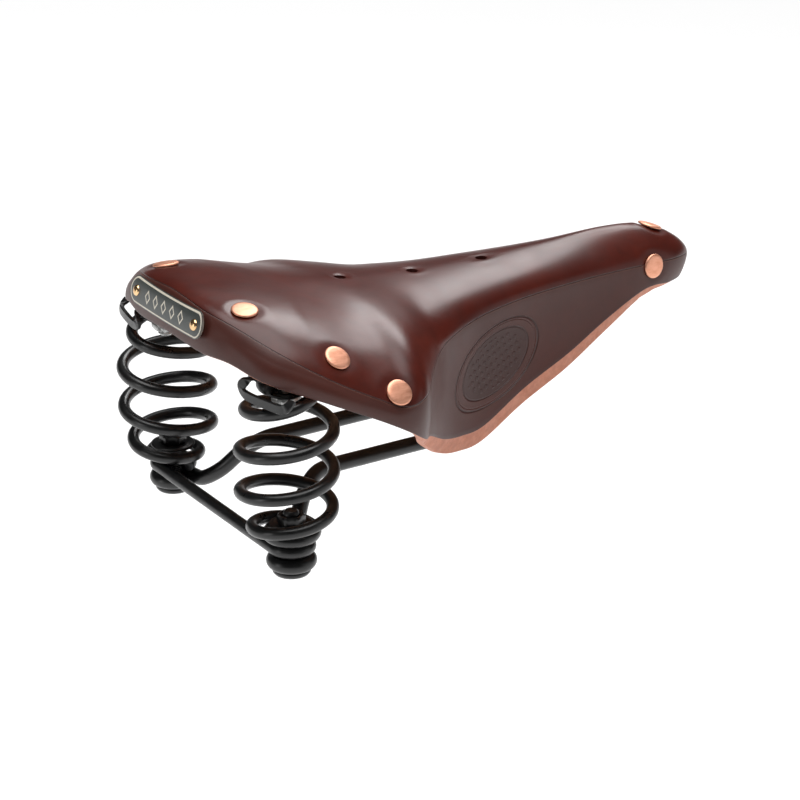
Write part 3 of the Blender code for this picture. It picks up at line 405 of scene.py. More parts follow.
def softened(profile, sides, width, corners=2):
    """A lathe piece whose hard turns are rounded off."""
    bm = lathe(profile, sides)
    bmesh.ops.recalc_face_normals(bm, faces=bm.faces)
    hard = [e for e in bm.edges if len(e.link_faces) == 2 and e.calc_face_angle(0) > math.radians(35)]
    broken(bm, hard, width, corners)
    return bm


def stand(bm, place, direction=None):
    """Moves a piece made on Z to its place, its Z turned to a direction."""
    turn = Vector((0, 0, 1)).rotation_difference(direction or Vector((0, 0, 1))).to_matrix().to_4x4()
    bmesh.ops.transform(bm, matrix=Matrix.Translation(place) @ turn, verts=bm.verts)
    return bm


def drawn_wire(points, radius, sides=20, domed=0.6):
    """A round wire pulled along points in metres: one ring extruded from point to point, with eased ends."""
    points = [Vector(p) for p in points]
    ahead, behind = points[1:] + points[-1:], points[:1] + points[:-1]
    steps = [(b - a).normalized() for a, b in zip(behind, ahead)]
    bm = bmesh.new()
    ring = bmesh.ops.create_circle(bm, cap_ends=True, segments=sides, radius=radius * MM)["verts"]
    aim = steps[0].to_track_quat("Z", "Y")
    bmesh.ops.transform(bm, matrix=Matrix.Translation(points[0]) @ aim.to_matrix().to_4x4(), verts=ring)
    face = bm.faces[:][0]
    edges = list(face.edges)
    for i in range(1, len(points)):
        made = bmesh.ops.extrude_edge_only(bm, edges=edges)["geom"]
        ring = [g for g in made if isinstance(g, bmesh.types.BMVert)]
        edges = [g for g in made if isinstance(g, bmesh.types.BMEdge)]
        turn = steps[i - 1].rotation_difference(steps[i]).to_matrix().to_4x4()
        move = Matrix.Translation(points[i]) @ turn @ Matrix.Translation(-points[i - 1])
        bmesh.ops.transform(bm, matrix=move, verts=ring)
    bmesh.ops.contextual_create(bm, geom=edges)
    bmesh.ops.recalc_face_normals(bm, faces=bm.faces)
    rims = [e for e in bm.edges if len(e.link_faces) == 2 and max(len(f.verts) for f in e.link_faces) > 4]
    broken(bm, rims, domed, 3)
    return bm


def between(a, b, d, e, t):
    """The Catmull-Rom curve from b to d at t, with a and e as the points on either side."""
    return 0.5 * (2 * b + (d - a) * t + (2 * a - 5 * b + 4 * d - e) * t**2 + (3 * b - a - 3 * d + e) * t**3)


def flowing(corners, step=1.5):
    """A Catmull-Rom curve through corners in mm, sampled about every step."""
    c = [np.array(p, float) for p in corners]
    c = [2 * c[0] - c[1]] + c + [2 * c[-1] - c[-2]]
    out = []
    for a, b, d, e in zip(c, c[1:], c[2:], c[3:]):
        n = max(2, int(np.linalg.norm(d - b) / step))
        for t in np.arange(n) / n:
            out.append(between(a, b, d, e, t))
    return out + [c[-2]]


def arc(cx, cy, radius, start, end, steps):
    return [(cx + radius * math.cos(math.radians(start + (end - start) * i / steps)),
             cy + radius * math.sin(math.radians(start + (end - start) * i / steps))) for i in range(steps + 1)]


# ---------------------------------------------------------------- the hide's shape
def between_stations(s):
    rows = np.array(HIDE_STATIONS, float)
    flip = np.ones(rows.shape[1])
    flip[[2, 5]] = -1
    rows = np.vstack([rows[1] * flip, rows, rows[-2] * flip])
    i = int(min(max(math.floor(s), 0), len(HIDE_STATIONS) - 2))
    t = s - i
    a, b, d, e = rows[i:i + 4]
    return between(a, b, d, e, t)


def spine_height(x):
    xs, zs = np.array(SPINE, float).T
    slopes = np.gradient(zs, xs)
    i = int(np.clip(np.searchsorted(xs, x) - 1, 0, len(xs) - 2))
    w = xs[i + 1] - xs[i]
    t = (x - xs[i]) / w
    h = (2 * t**3 - 3 * t**2 + 1) * zs[i] + (t**3 - 2 * t**2 + t) * w * slopes[i]
    h += (3 * t**2 - 2 * t**3) * zs[i + 1] + (t**3 - t**2) * w * slopes[i + 1]
    g = (6 * t**2 - 6 * t) * (zs[i] - zs[i + 1]) / w + (3 * t**2 - 4 * t + 1) * slopes[i]
    g += (3 * t**2 - 2 * t) * slopes[i + 1]
    return h, g


FINE = 72


def rib(s, rounding):
    """The outer face along one rib, from the spine over the crease to the skived edge, in mm.

    The edge's width comes with it, and how far along the rib each point lies past the crease."""
    row = between_stations(s)
    qx, crease, edge, slope, bulge, bevel = row[0], row[1:4], row[4:7], math.radians(row[7]), row[8], row[9]
    h, g = spine_height(qx)
    start = np.array((qx, 0.0, h))
    reach = crease - start
    reach[2] = 0
    length = np.linalg.norm(reach)
    out = reach / length
    p1 = start + out * CROWN * length + np.array((0, 0, g * out[0] * CROWN * length))
    fall = np.array((out[0] * math.cos(slope), out[1] * math.cos(slope), -math.sin(slope)))
    p2 = crease - 0.34 * length * fall
    p2[2] = min(p2[2], h + 3)
    v = np.linspace(0, 1, FINE + 1)[:, None]
    top = (1 - v)**3 * start + 3 * (1 - v)**2 * v * p1 + 3 * (1 - v) * v**2 * p2 + v**3 * crease
    down = edge - crease
    edge = edge - down / np.linalg.norm(down) * bevel
    mid = (crease + edge) / 2 + 2 * bulge * out
    v = v[1:]
    panel = (1 - v)**2 * crease + 2 * (1 - v) * v * mid + v**2 * edge
    points = np.vstack((top, panel))
    along = np.concatenate(([0], np.cumsum(np.linalg.norm(np.diff(points, axis=0), axis=1))))
    weight = np.exp(-((along[:, None] - along[None]) / rounding)**2)
    spacing = np.gradient(along)
    rounded = (weight * spacing) @ points / (weight @ spacing)[:, None]
    room = np.clip(np.minimum(along, along[-1] - along) / (1.6 * rounding), 0, 1)[:, None]**2
    return points * (1 - room) + rounded * room, bevel, along - along[FINE]


TOP_ROWS, PANEL_ROWS, RIBS = 36, 24, 8


def turn_radius(s):
    """How softly the hide turns at the crease: wide round the rear, tight along the skirts."""
    return float(np.interp(s, (0, 4, 5.5, 7.5), (6.0, 6.0, 4.6, 2.6)))


def hide_shape():
    """Rows of points round the hide, with how far below the crease each one lies."""
    last = len(HIDE_STATIONS) - 1
    half = [i / RIBS for i in range(last * RIBS + 1)]
    ribs = [(s, 1) for s in half] + [(s, -1) for s in half[-2:0:-1]]
    picked = [round(FINE * i / TOP_ROWS) for i in range(TOP_ROWS + 1)]
    picked += [FINE + round(FINE * i / PANEL_ROWS) for i in range(1, PANEL_ROWS + 1)]
    points = np.zeros((len(ribs), len(picked), 3))
    below = np.zeros((len(ribs), len(picked)))
    bevels = np.zeros(len(ribs))
    made = {s: rib(s, turn_radius(s)) for s in half}
    for i, (s, side) in enumerate(ribs):
        curve, bevels[i], depth = made[s]
        points[i] = curve[picked] * np.array((1, side, 1))
        below[i] = depth[picked]
    return ribs, points, below, bevels


def normals_of(points, passes):
    """Directions out of the hide, evened out over the grid, the same at every rib start on the spine."""
    a = np.roll(points, -1, axis=0) - np.roll(points, 1, axis=0)
    b = np.gradient(points, axis=1)
    n = np.cross(a, b)
    n[:, 0] = n[:, 1]
    if n[0, 5, 2] < 0:
        n = -n
    n /= np.linalg.norm(n, axis=2)[:, :, None] + 1e-12
    for _ in range(passes):
        spread = n * 2 + np.roll(n, 1, axis=0) + np.roll(n, -1, axis=0)
        spread[:, 1:-1] += n[:, :-2] + n[:, 2:]
        spread[:, -1] += n[:, -2]
        n = spread / np.linalg.norm(spread, axis=2)[:, :, None]
    n[:, 0] = n[:, 0] + n[-np.arange(len(n)), 0]
    n[:, 0, 1] = 0
    n[:, 0] /= np.linalg.norm(n[:, 0], axis=1)[:, None]
    return n


RIB_LIST, OUTER, BELOW, BEVELS = hide_shape()
NORMALS = normals_of(OUTER, 10)
SOFT_NORMALS = normals_of(OUTER, 90)


def nearest(target):
    """The hide's point and direction out nearest to x, y on the top, or to x, y, z anywhere."""
    target = np.array(target, float)
    rows = OUTER[:, 1:TOP_ROWS] if len(target) == 2 else OUTER[:, 1:-1]
    gap = np.linalg.norm(rows[..., :len(target)] - target, axis=2)
    i, j = np.unravel_index(gap.argmin(), gap.shape)
    j += 1
    # Slide to the exact place on the facet's plane.
    p, n = OUTER[i, j], NORMALS[i, j]
    if len(target) == 2:
        offset = np.array((target[0] - p[0], target[1] - p[1]))
        p = np.array((target[0], target[1], p[2] - (n[0] * offset[0] + n[1] * offset[1]) / n[2]))
    else:
        d = target - p
        p = p + d - n * (d @ n)
    return p, n


def rivet_spots():
    spots = []
    for number, (x, y) in enumerate(REAR_RIVETS, 1):
        for side, tag in ((1, "left"), (-1, "right")):
            spots.append((f"rear_rivet_{tag}_{number}", (x, side * y)))
    spots.append(("nose_rivet_top", NOSE_TOP_RIVET))
    for side, tag in ((1, "left"), (-1, "right")):
        spots.append((f"nose_rivet_{tag}", (NOSE_SIDE_RIVET[0], side * NOSE_SIDE_RIVET[1], NOSE_SIDE_RIVET[2])))
    return [(name, *nearest(target)) for name, target in spots]


RIVETS = rivet_spots()


def worked(points, normals):
    """The hide pressed in round each rivet and each vent."""
    points = points.copy()
    for _, place, _ in RIVETS:
        gap = np.linalg.norm(points - place, axis=2)
        points -= normals * (0.55 * np.exp(-(gap / 7.0)**4))[..., None]
        points += normals * (0.16 * np.exp(-((gap - 9.3) / 1.8)**2))[..., None]
    for x in VENTS:
        gap = np.linalg.norm(points[..., :2] - np.array((x, 0)), axis=2)
        press = 0.9 * np.exp(-(gap / 3.6)**2) - 0.30 * np.exp(-((gap - 5.2) / 1.3)**2)
        points -= normals * (press * (points[..., 2] > 65))[..., None]
    return points


def make_hide():
    outer = worked(OUTER, NORMALS)
    n, m = outer.shape[:2]
    run = outer[:, -1] - outer[:, -2]
    run /= np.linalg.norm(run, axis=1)[:, None]
    out = NORMALS[:, -1]
    deep = np.minimum(0.55 * HIDE_THICKNESS, 0.45 * BEVELS + 0.3)[:, None]
    lip = outer[:, -1] + run * BEVELS[:, None] - out * deep
    edge_end = outer[:, -1] + run * BEVELS[:, None] - SOFT_NORMALS[:, -1] * HIDE_THICKNESS
    inner = OUTER - SOFT_NORMALS * HIDE_THICKNESS
    corner = outer[:, -1] + run * 0.25 - out * 0.1
    soft_lip = lip * 0.8 + edge_end * 0.2
    # One long strip: the outer face, over the skived edge, and back up the flesh side
    rows = [outer[:, j] for j in range(m)]
    rows += [corner, lip * 0.5 + corner * 0.5, lip, soft_lip, edge_end * 0.85 + lip * 0.15, edge_end]
    rows += [inner[:, j] for j in range(m - 1, -1, -1)]
    rows = np.array(rows)
    bm = bmesh.new()
    bmesh.ops.create_grid(bm, x_segments=n, y_segments=len(rows) - 1, size=1)
    bm.verts.ensure_lookup_table()
    below = bm.verts.layers.float.new("below_crease")
    near = bm.verts.layers.float.new("edge_near")
    order = sorted(range(len(bm.verts)), key=lambda k: (round(bm.verts[k].co.y, 5), round(bm.verts[k].co.x, 5)))
    row_of = {}
    for place, k in enumerate(order):
        j, i = divmod(place, n + 1)
        vert = bm.verts[k]
        row_of[vert] = j
        vert.co = at(*rows[j][i % n])
        vert[below] = BELOW[i % n, j] if j < m else 40.0
        vert[near] = math.exp(-(BELOW[i % n, -1] - BELOW[i % n, j]) / 1.6) if j < m else 1.0
    for face in bm.faces:
        j = min(row_of[v] for v in face.verts)
        face.material_index = 0 if j < m else 1 if j < m + 5 else 2
    bmesh.ops.remove_doubles(bm, verts=bm.verts, dist=2e-6)
    bmesh.ops.dissolve_degenerate(bm, edges=bm.edges, dist=1e-6)
    hide = piece(bm, "hide", None, (HIDE, RAW, FLESH), sharp=0)
    # Vents punched through
    punch = bmesh.new()
    for x in VENTS:
        made = bmesh.ops.create_cone(punch, cap_ends=True, segments=32, radius1=VENT_RADIUS * MM,
                                     radius2=VENT_RADIUS * MM, depth=30 * MM)
        bmesh.ops.translate(punch, vec=at(x, 0, spine_height(x)[0]), verts=made["verts"])
    tool = piece(punch, "vent_punch", None, (HIDE,), smooth=False, sharp=0)
    cut = hide.modifiers.new("vents", "BOOLEAN")
    cut.operation, cut.solver, cut.object = "DIFFERENCE", "EXACT", tool
    bpy.context.view_layer.update()
    graph = bpy.context.evaluated_depsgraph_get()
    mesh = bpy.data.meshes.new_from_object(hide.evaluated_get(graph))
    hide.modifiers.clear()
    hide.data = mesh
    bpy.data.objects.remove(tool)
    hide.data.set_sharp_from_angle(angle=math.radians(32))
    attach(hide, "seat_top")
    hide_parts("leather_top")
    return hide


make_hide()


# ---------------------------------------------------------------- rivets
def rivet_head(radius, tall):
    """A flat copper head, a little crowned, with a turned-down rim, and its shank."""
    profile = [(0, tall), (radius * 0.35, tall - 0.02), (radius * 0.7, tall - 0.10),
               (radius * 0.88, tall - 0.24), (radius * 0.97, tall - 0.5), (radius, tall - 0.85),
               (radius * 0.99, -0.15), (radius * 0.9, -0.4), (2.5, -0.4), (2.5, -8.4), (2.0, -8.9), (0, -8.9)]
    return lathe(profile, 56)


for name, place, normal in RIVETS:
    bm = stand(rivet_head(5.8, 1.05), at(*place), Vector(normal))
    piece(bm, name + "_head", "seat_top", (COPPER,), (name,), sharp=50)


# ---------------------------------------------------------------- badge
REAR_RIBS = [i for i, (s, side) in enumerate(RIB_LIST) if s <= 3]
REAR_RIBS.sort(key=lambda i: RIB_LIST[i][1] * RIB_LIST[i][0])


def rear_panel(y, z):
    """The rear band's outer face and direction out at a width and a height."""
    found = []
    for i in REAR_RIBS:
        rows = OUTER[i, TOP_ROWS - 3:]
        order = rows[:, 2].argsort()
        zs = rows[order, 2]
        facts = np.hstack((rows[order], SOFT_NORMALS[i, TOP_ROWS - 3:][order]))
        found.append([np.interp(z, zs, facts[:, k]) for k in range(6)])
    found = np.array(found)
    x = np.interp(y, found[:, 1], found[:, 0])
    normal = np.array([np.interp(y, found[:, 1], found[:, k]) for k in (3, 4, 5)])
    return np.array((x, y, z)), normal / np.linalg.norm(normal)


def badge_spot(y, z):
    """A point under the badge, which is bent less than the band behind it, and the badge's direction out."""
    p, normal = rear_panel(y, z)
    middle, lean = rear_panel(0, z)
    p[0] = middle[0] + BADGE_BEND * (p[0] - middle[0])
    normal = lean + BADGE_BEND * (normal - lean)
    return p, normal / np.linalg.norm(normal)


def make_badge():
    half_l, half_h = BADGE_LENGTH / 2, BADGE_HEIGHT / 2
    bm = bmesh.new()
    bmesh.ops.create_grid(bm, x_segments=72, y_segments=12, size=1)
    uv = bm.loops.layers.uv.new("badge")
    flat = {}
    for vert in bm.verts:
        along = math.sin(vert.co.x * math.pi / 2) * half_l
        past = max(abs(along) - (half_l - half_h), 0)
        tall = math.sqrt(max(half_h**2 - past**2, 0.3**2))
        flat[vert] = (along, vert.co.y * tall)
    for face in bm.faces:
        for loop in face.loops:
            loop[uv].uv = (0.5 + flat[loop.vert][0] / BADGE_MAP, 0.5 + flat[loop.vert][1] / BADGE_MAP)
    for vert, (y, up) in flat.items():
        p, normal = badge_spot(y, BADGE_CENTRE_Z + up)
        # a slight dish towards the rim
        rim = max(0.0, 1 - (half_h - abs(up))) * 0.12
        vert.co = at(*(p + normal * (BADGE_GAP + BADGE_THICKNESS - rim)))
    made = bmesh.ops.extrude_face_region(bm, geom=bm.faces[:])
    back = [g for g in made["geom"] if isinstance(g, bmesh.types.BMVert)]
    for vert in back:
        y, z = vert.co.y / MM, vert.co.z / MM
        normal = Vector(badge_spot(y, z)[1])
        vert.co -= normal * BADGE_THICKNESS * MM
    bmesh.ops.recalc_face_normals(bm, faces=bm.faces)
    for face in bm.faces:
        c = face.calc_center_median()
        normal = Vector(badge_spot(c.y / MM, c.z / MM)[1])
        face.material_index = 0 if face.normal.dot(normal) > 0.6 else 1
    piece(bm, "badge", "seat_top", (BADGE_FACE, BADGE_EDGE), ("badge_plate",), sharp=45)
    for side, tag in ((1, "left"), (-1, "right")):
        p, normal = badge_spot(side * BADGE_RIVET_SPACING / 2, BADGE_CENTRE_Z)
        base = BADGE_GAP + BADGE_THICKNESS
        profile = [(0, base + 1.25), (0.9, base + 1.15), (1.7, base + 0.85), (2.25, base + 0.4), (2.45, base),
                   (1.2, base - 0.1), (1.2, -3), (0, -3)]
        bm = stand(lathe(profile, 32), at(*p), Vector(normal))
        piece(bm, f"badge_rivet_{tag}_head", "seat_top", (GILT,), (f"badge_rivet_{tag}",), sharp=60)


make_badge()

# ---------------------------------------------------------------- springs
SPRING_WIRE, SPRING_OUTER, SPRING_SPACING, SPRING_PITCH, TOP_EYE, EYE_RADIUS = 5.5, 45.4, 104.8, 17.3, 58.5, 9.7
LOWER_BOLT_X = 1.8
RAIL_DIAMETER, CROSSBAR_DIAMETER, GAP = 7.0, 5.8, 0.3
EYE_Z = -23.1
BAR_Z = EYE_Z + RAIL_DIAMETER / 2 + GAP + CROSSBAR_DIAMETER / 2
LOW_EYE_Z = BAR_Z + CROSSBAR_DIAMETER / 2 + GAP + SPRING_WIRE / 2
SPRING_Y = SPRING_SPACING / 2
RISE = TOP_EYE - LOW_EYE_Z
FULL = RISE / SPRING_PITCH - 1.71
COIL_TURNED = -123.3  # degrees, where the coil's count of turns starts
# Turns from a point in the top coil, share of the way to the full radius, share of the drop
COIL = np.array(((-1.2, 0, 0), (-1, 0, 0), (-0.75, 0.05, 0.006), (-0.5, 0.3, 0.05), (-0.25, 0.5, 0.128),
                 (0, 0.82, 0.19), (0.3, 1, 0.266), (FULL, 1, 0.7916), (FULL + 0.35, 0.77, 0.874),
                 (FULL + 0.6, 0.62, 0.932), (FULL + 0.85, 0.45, 0.978), (FULL + 1.1, 0.1, 0.998),
                 (FULL + 1.25, 0, 1), (FULL + 1.75, 0, 1)))


def eased(t, column):
    turns, values = COIL[:, 0], COIL[:, column]
    d = np.gradient(values, turns)
    for k in range(len(values) - 1):
        if abs(values[k + 1] - values[k]) < 1e-9:
            d[k] = d[k + 1] = 0
    i = int(np.clip(np.searchsorted(turns, t) - 1, 0, len(turns) - 2))
    w = turns[i + 1] - turns[i]
    x = (t - turns[i]) / w
    return ((2 * x**3 - 3 * x**2 + 1) * values[i] + (x**3 - 2 * x**2 + x) * w * d[i]
            + (3 * x**2 - 2 * x**3) * values[i + 1] + (x**3 - x**2) * w * d[i + 1])


def coil(side, tag):
    path = []
    first, last = COIL[0, 0], COIL[-1, 0]
    steps = int((last - first) * 64)
    full = (SPRING_OUTER - SPRING_WIRE) / 2
    for k in range(steps + 1):
        t = first + (last - first) * k / steps
        a = math.radians(COIL_TURNED + 360 * t)
        radius = EYE_RADIUS + (full - EYE_RADIUS) * eased(t, 1)
        forward = LOWER_BOLT_X * (1 - eased(t, 1)) if t > 1 else 0
        path.append(at(forward + radius * math.cos(a), side * (SPRING_Y + radius * math.sin(a)),
                       TOP_EYE - RISE * eased(t, 2)))
    spring = piece(drawn_wire(path, SPRING_WIRE / 2, 20), f"{tag}_coil_spring", None, (WIRE_ENAMEL,),
                   (f"{tag}_spring",), sharp=60)
    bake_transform(spring)


# ---------------------------------------------------------------- rails and crossbar
RAIL_Y = 21.5
EYE_RING = 4.0 + RAIL_DIAMETER / 2
LOOP_INNER = 4.9
YOKE_START, YOKE_END, YOKE_RAIL_Y, AXIS_Z = 176.0, 185.0, 8.8, 52.0


def rail(side, tag):
    ring = [(x, y, EYE_Z) for x, y in arc(LOWER_BOLT_X, SPRING_Y, EYE_RING, -82 + 360, 20, 48)]
    x0 = LOWER_BOLT_X + EYE_RING
    tail = [(x0 + 0.4, SPRING_Y - 4, EYE_Z), (x0 + 2, SPRING_Y - 11, EYE_Z + 0.8),
            (x0 + 7, SPRING_Y - 19, EYE_Z + 7), (24, RAIL_Y + 5.5, -6.5), (33, RAIL_Y + 1.2, -1),
            (44, RAIL_Y, 0)]
    run = [(92, RAIL_Y, 0), (104, RAIL_Y - 0.6, 1.6), (YOKE_START - 22, YOKE_RAIL_Y + 2.5, AXIS_Z - 16),
           (YOKE_START - 9, YOKE_RAIL_Y, AXIS_Z - 2.5), (YOKE_START + 1, YOKE_RAIL_Y, AXIS_Z),
           (YOKE_END - 0.5, YOKE_RAIL_Y, AXIS_Z)]
    points = ring[:-1] + flowing([ring[-1]] + tail) + flowing(run)
    bm = drawn_wire([at(x, side * y, z) for x, y, z in points], RAIL_DIAMETER / 2, 24)
    piece(bm, f"{tag}_clamp_rail", "rail_frame", (ENAMEL,), (f"{tag}_rail",), sharp=60)


def crossbar():
    loop = LOOP_INNER + CROSSBAR_DIAMETER / 2
    left = [(x, y, BAR_Z) for x, y in arc(LOWER_BOLT_X, SPRING_Y, loop, -60, 180, 40)]
    right = [(x, -y, z) for x, y, z in left][::-1]
    straight = [(LOWER_BOLT_X - loop, y, BAR_Z) for y in np.linspace(SPRING_Y, -SPRING_Y, 30)[1:-1]]
    bm = drawn_wire([at(*p) for p in left + straight + right], CROSSBAR_DIAMETER / 2, 20)
    piece(bm, "rear_crossbar", "rail_frame", (ENAMEL,), ("crossbar",), sharp=60)


for side, tag in ((1, "left"), (-1, "right")):
    coil(side, tag)
    rail(side, tag)
crossbar()

# ---------------------------------------------------------------- bolts, washers, nuts
BOLT_R = 3.5
BORE_R = BOLT_R + 0.3
WASHER_THICK, NUT_ACROSS, NUT_TALL, LUG_THICK = 1.2, 11, 4.2, 3.0
LOOP_PLATE, LOOP_WIDTH = 1.8, 4.2
WASHER_LOW = LOW_EYE_Z + SPRING_WIRE / 2 + GAP
NUT_LOW = WASHER_LOW + WASHER_THICK + GAP
BOLT_LOW = EYE_Z - RAIL_DIAMETER / 2 - GAP
TONGUE_LOW = TOP_EYE + SPRING_WIRE / 2 + GAP
LUG_LOW = TONGUE_LOW + LOOP_PLATE + GAP
WASHER_TOP = TOP_EYE - SPRING_WIRE / 2 - GAP
NUT_TOP = WASHER_TOP - WASHER_THICK - GAP
BOLT_TOP = LUG_LOW + LUG_THICK + GAP
UP = Vector((0, 0, 1))


def threaded(low, high, pitch=1.0):
    """Profile of a bolt's shank with fine thread ridges, from low up to high."""
    rows = []
    z = low
    while z < high - pitch:
        rows += [(BOLT_R - 0.32, z), (BOLT_R, z + pitch / 2)]
        z += pitch
    return rows + [(BOLT_R - 0.32, high)]


def hexagon_nut(tall, mat, name, body, place, direction, stands_for):
    """A hexagon cut from a disc: a prism with its corners turned off and a bored hole."""
    bm = bmesh.new()
    corner = NUT_ACROSS / math.sqrt(3)
    face_rim, bore_rim = NUT_ACROSS / 2 - 0.15, BORE_R + 0.45
    rings = []
    for radius, z, hexed in ((BORE_R, 0.5, False), (bore_rim, 0, False), (face_rim, 0, False),
                             (corner, 0.75, True), (corner, tall - 0.75, True), (face_rim, tall, False),
                             (bore_rim, tall, False), (BORE_R, tall - 0.5, False)):
        made = bmesh.ops.create_circle(bm, segments=48, radius=radius * MM)["verts"]
        for vert in made:
            a = math.atan2(vert.co.y, vert.co.x)
            if hexed:
                flat = NUT_ACROSS / 2 / math.cos((a + math.pi / 6) % (math.pi / 3) - math.pi / 6)
                vert.co *= min(flat, corner - 0.12) / corner
            vert.co.z = z * MM
        rings.append({e for v in made for e in v.link_edges})
    for low, high in zip(rings, rings[1:] + rings[:1]):
        bmesh.ops.bridge_loops(bm, edges=list(low | high))
    stand(bm, place, direction)
    piece(bm, name, body, (mat,), (stands_for,), sharp=24)


for side, tag in ((1, "left"), (-1, "right")):
    spot = at(LOWER_BOLT_X, side * SPRING_Y, 0)
    long = NUT_LOW + NUT_TALL + 1.8 - BOLT_LOW
    profile = [(0, -2.6), (6.6, -2.6), (7.6, -2.2), (8.3, -1.3), (8.5, -0.5), (8.3, 0), (BOLT_R, 0)]
    profile += threaded(0.8, long - 0.6)[1:] + [(BOLT_R - 1, long), (0, long)]
    bm = stand(lathe(profile), spot + UP * BOLT_LOW * MM)
    piece(bm, f"{tag}_lower_bolt_body", "rail_frame", (ENAMEL,), (f"{tag}_lower_bolt",))
    ring = [(BORE_R, 0), (10, 0), (10, 0.9), (9.4, WASHER_THICK), (BORE_R, WASHER_THICK)]
    bm = stand(softened(ring, 64, 0.2), spot + UP * WASHER_LOW * MM)
    piece(bm, f"{tag}_lower_washer_disc", "rail_frame", (ENAMEL,), (f"{tag}_lower_washer",),
          sharp=35)
    hexagon_nut(NUT_TALL, ENAMEL, f"{tag}_lower_hexagon_nut", "rail_frame", spot + UP * NUT_LOW * MM, UP,
                f"{tag}_lower_nut")
    spot = at(0, side * SPRING_Y, 0)
    long = BOLT_TOP - (NUT_TOP - NUT_TALL) + 3
    profile = [(0, -long), (BOLT_R - 1, -long)] + threaded(-long + 0.7, -1.2)
    profile += [(BOLT_R, 0), (4.9, 0), (5, 0.3), (4.8, 0.8), (4, 1.3), (0, 1.5)]
    bm = stand(lathe(profile), spot + UP * BOLT_TOP * MM)
    piece(bm, f"{tag}_upper_bolt_body", "seat_top", (ZINC,), (f"{tag}_upper_bolt",), sharp=40)
    ring = [(BORE_R, 0), (8.2, 0), (8.2, WASHER_THICK), (BORE_R, WASHER_THICK)]
    bm = stand(softened(ring, 56, 0.2), spot + UP * (WASHER_TOP - WASHER_THICK) * MM)
    piece(bm, f"{tag}_upper_washer_disc", "seat_top", (ENAMEL,), (f"{tag}_upper_washer",),
          sharp=35)
    hexagon_nut(NUT_TALL, ZINC, f"{tag}_upper_hexagon_nut", "seat_top",
                spot + UP * (NUT_TOP - NUT_TALL) * MM, UP, f"{tag}_upper_nut")

# Tension bolt and nut, lying forward
FORWARD = Vector((1, 0, 0))
POCKET_END, POCKET_FLOOR, HEAD_ROOM, HEAD_LENGTH = 236.6, 3.0, 0.9, 4.5
BOLT_START = 160
reach = POCKET_END - POCKET_FLOOR - HEAD_ROOM - HEAD_LENGTH - BOLT_START
profile = [(0, 0), (BOLT_R - 0.8, 0)] + threaded(0.8, 60) + [(BOLT_R, 62), (BOLT_R, reach)]
profile += [(5.0, reach), (5.2, reach + 0.3), (5.2, reach + 3), (4.4, reach + 4.1), (3.4, reach + HEAD_LENGTH),
            (0, reach + HEAD_LENGTH)]
bm = stand(lathe(profile, 40), at(BOLT_START, 0, AXIS_Z), FORWARD)
piece(bm, "tension_bolt_body_screw", "tension_bolt_body", (ZINC,), ("tension_bolt",), sharp=40)
hexagon_nut(5.5, ZINC, "tension_hexagon_nut", "tension_nut_body", at(YOKE_END + GAP, 0, AXIS_Z), FORWARD,
            "tension_nut")

# ---------------------------------------------------------------- bag loops
# Middle of the hoop's strip, from the tongue round to its free end
HOOP = ((-12.5, 49, 63.8), (-15.2, 48, 63.2), (-17, 46.6, 61.6), (-17.3, 45.8, 59.2), (-17, 47.6, 57.2),
        (-16.4, 52, 56.6), (-15, 60, 56.6), (-13, 68.6, 56.6), (-11.8, 71.6, 57.3), (-10.4, 72.4, 58.8),
        (-8.6, 72.2, 60.3))


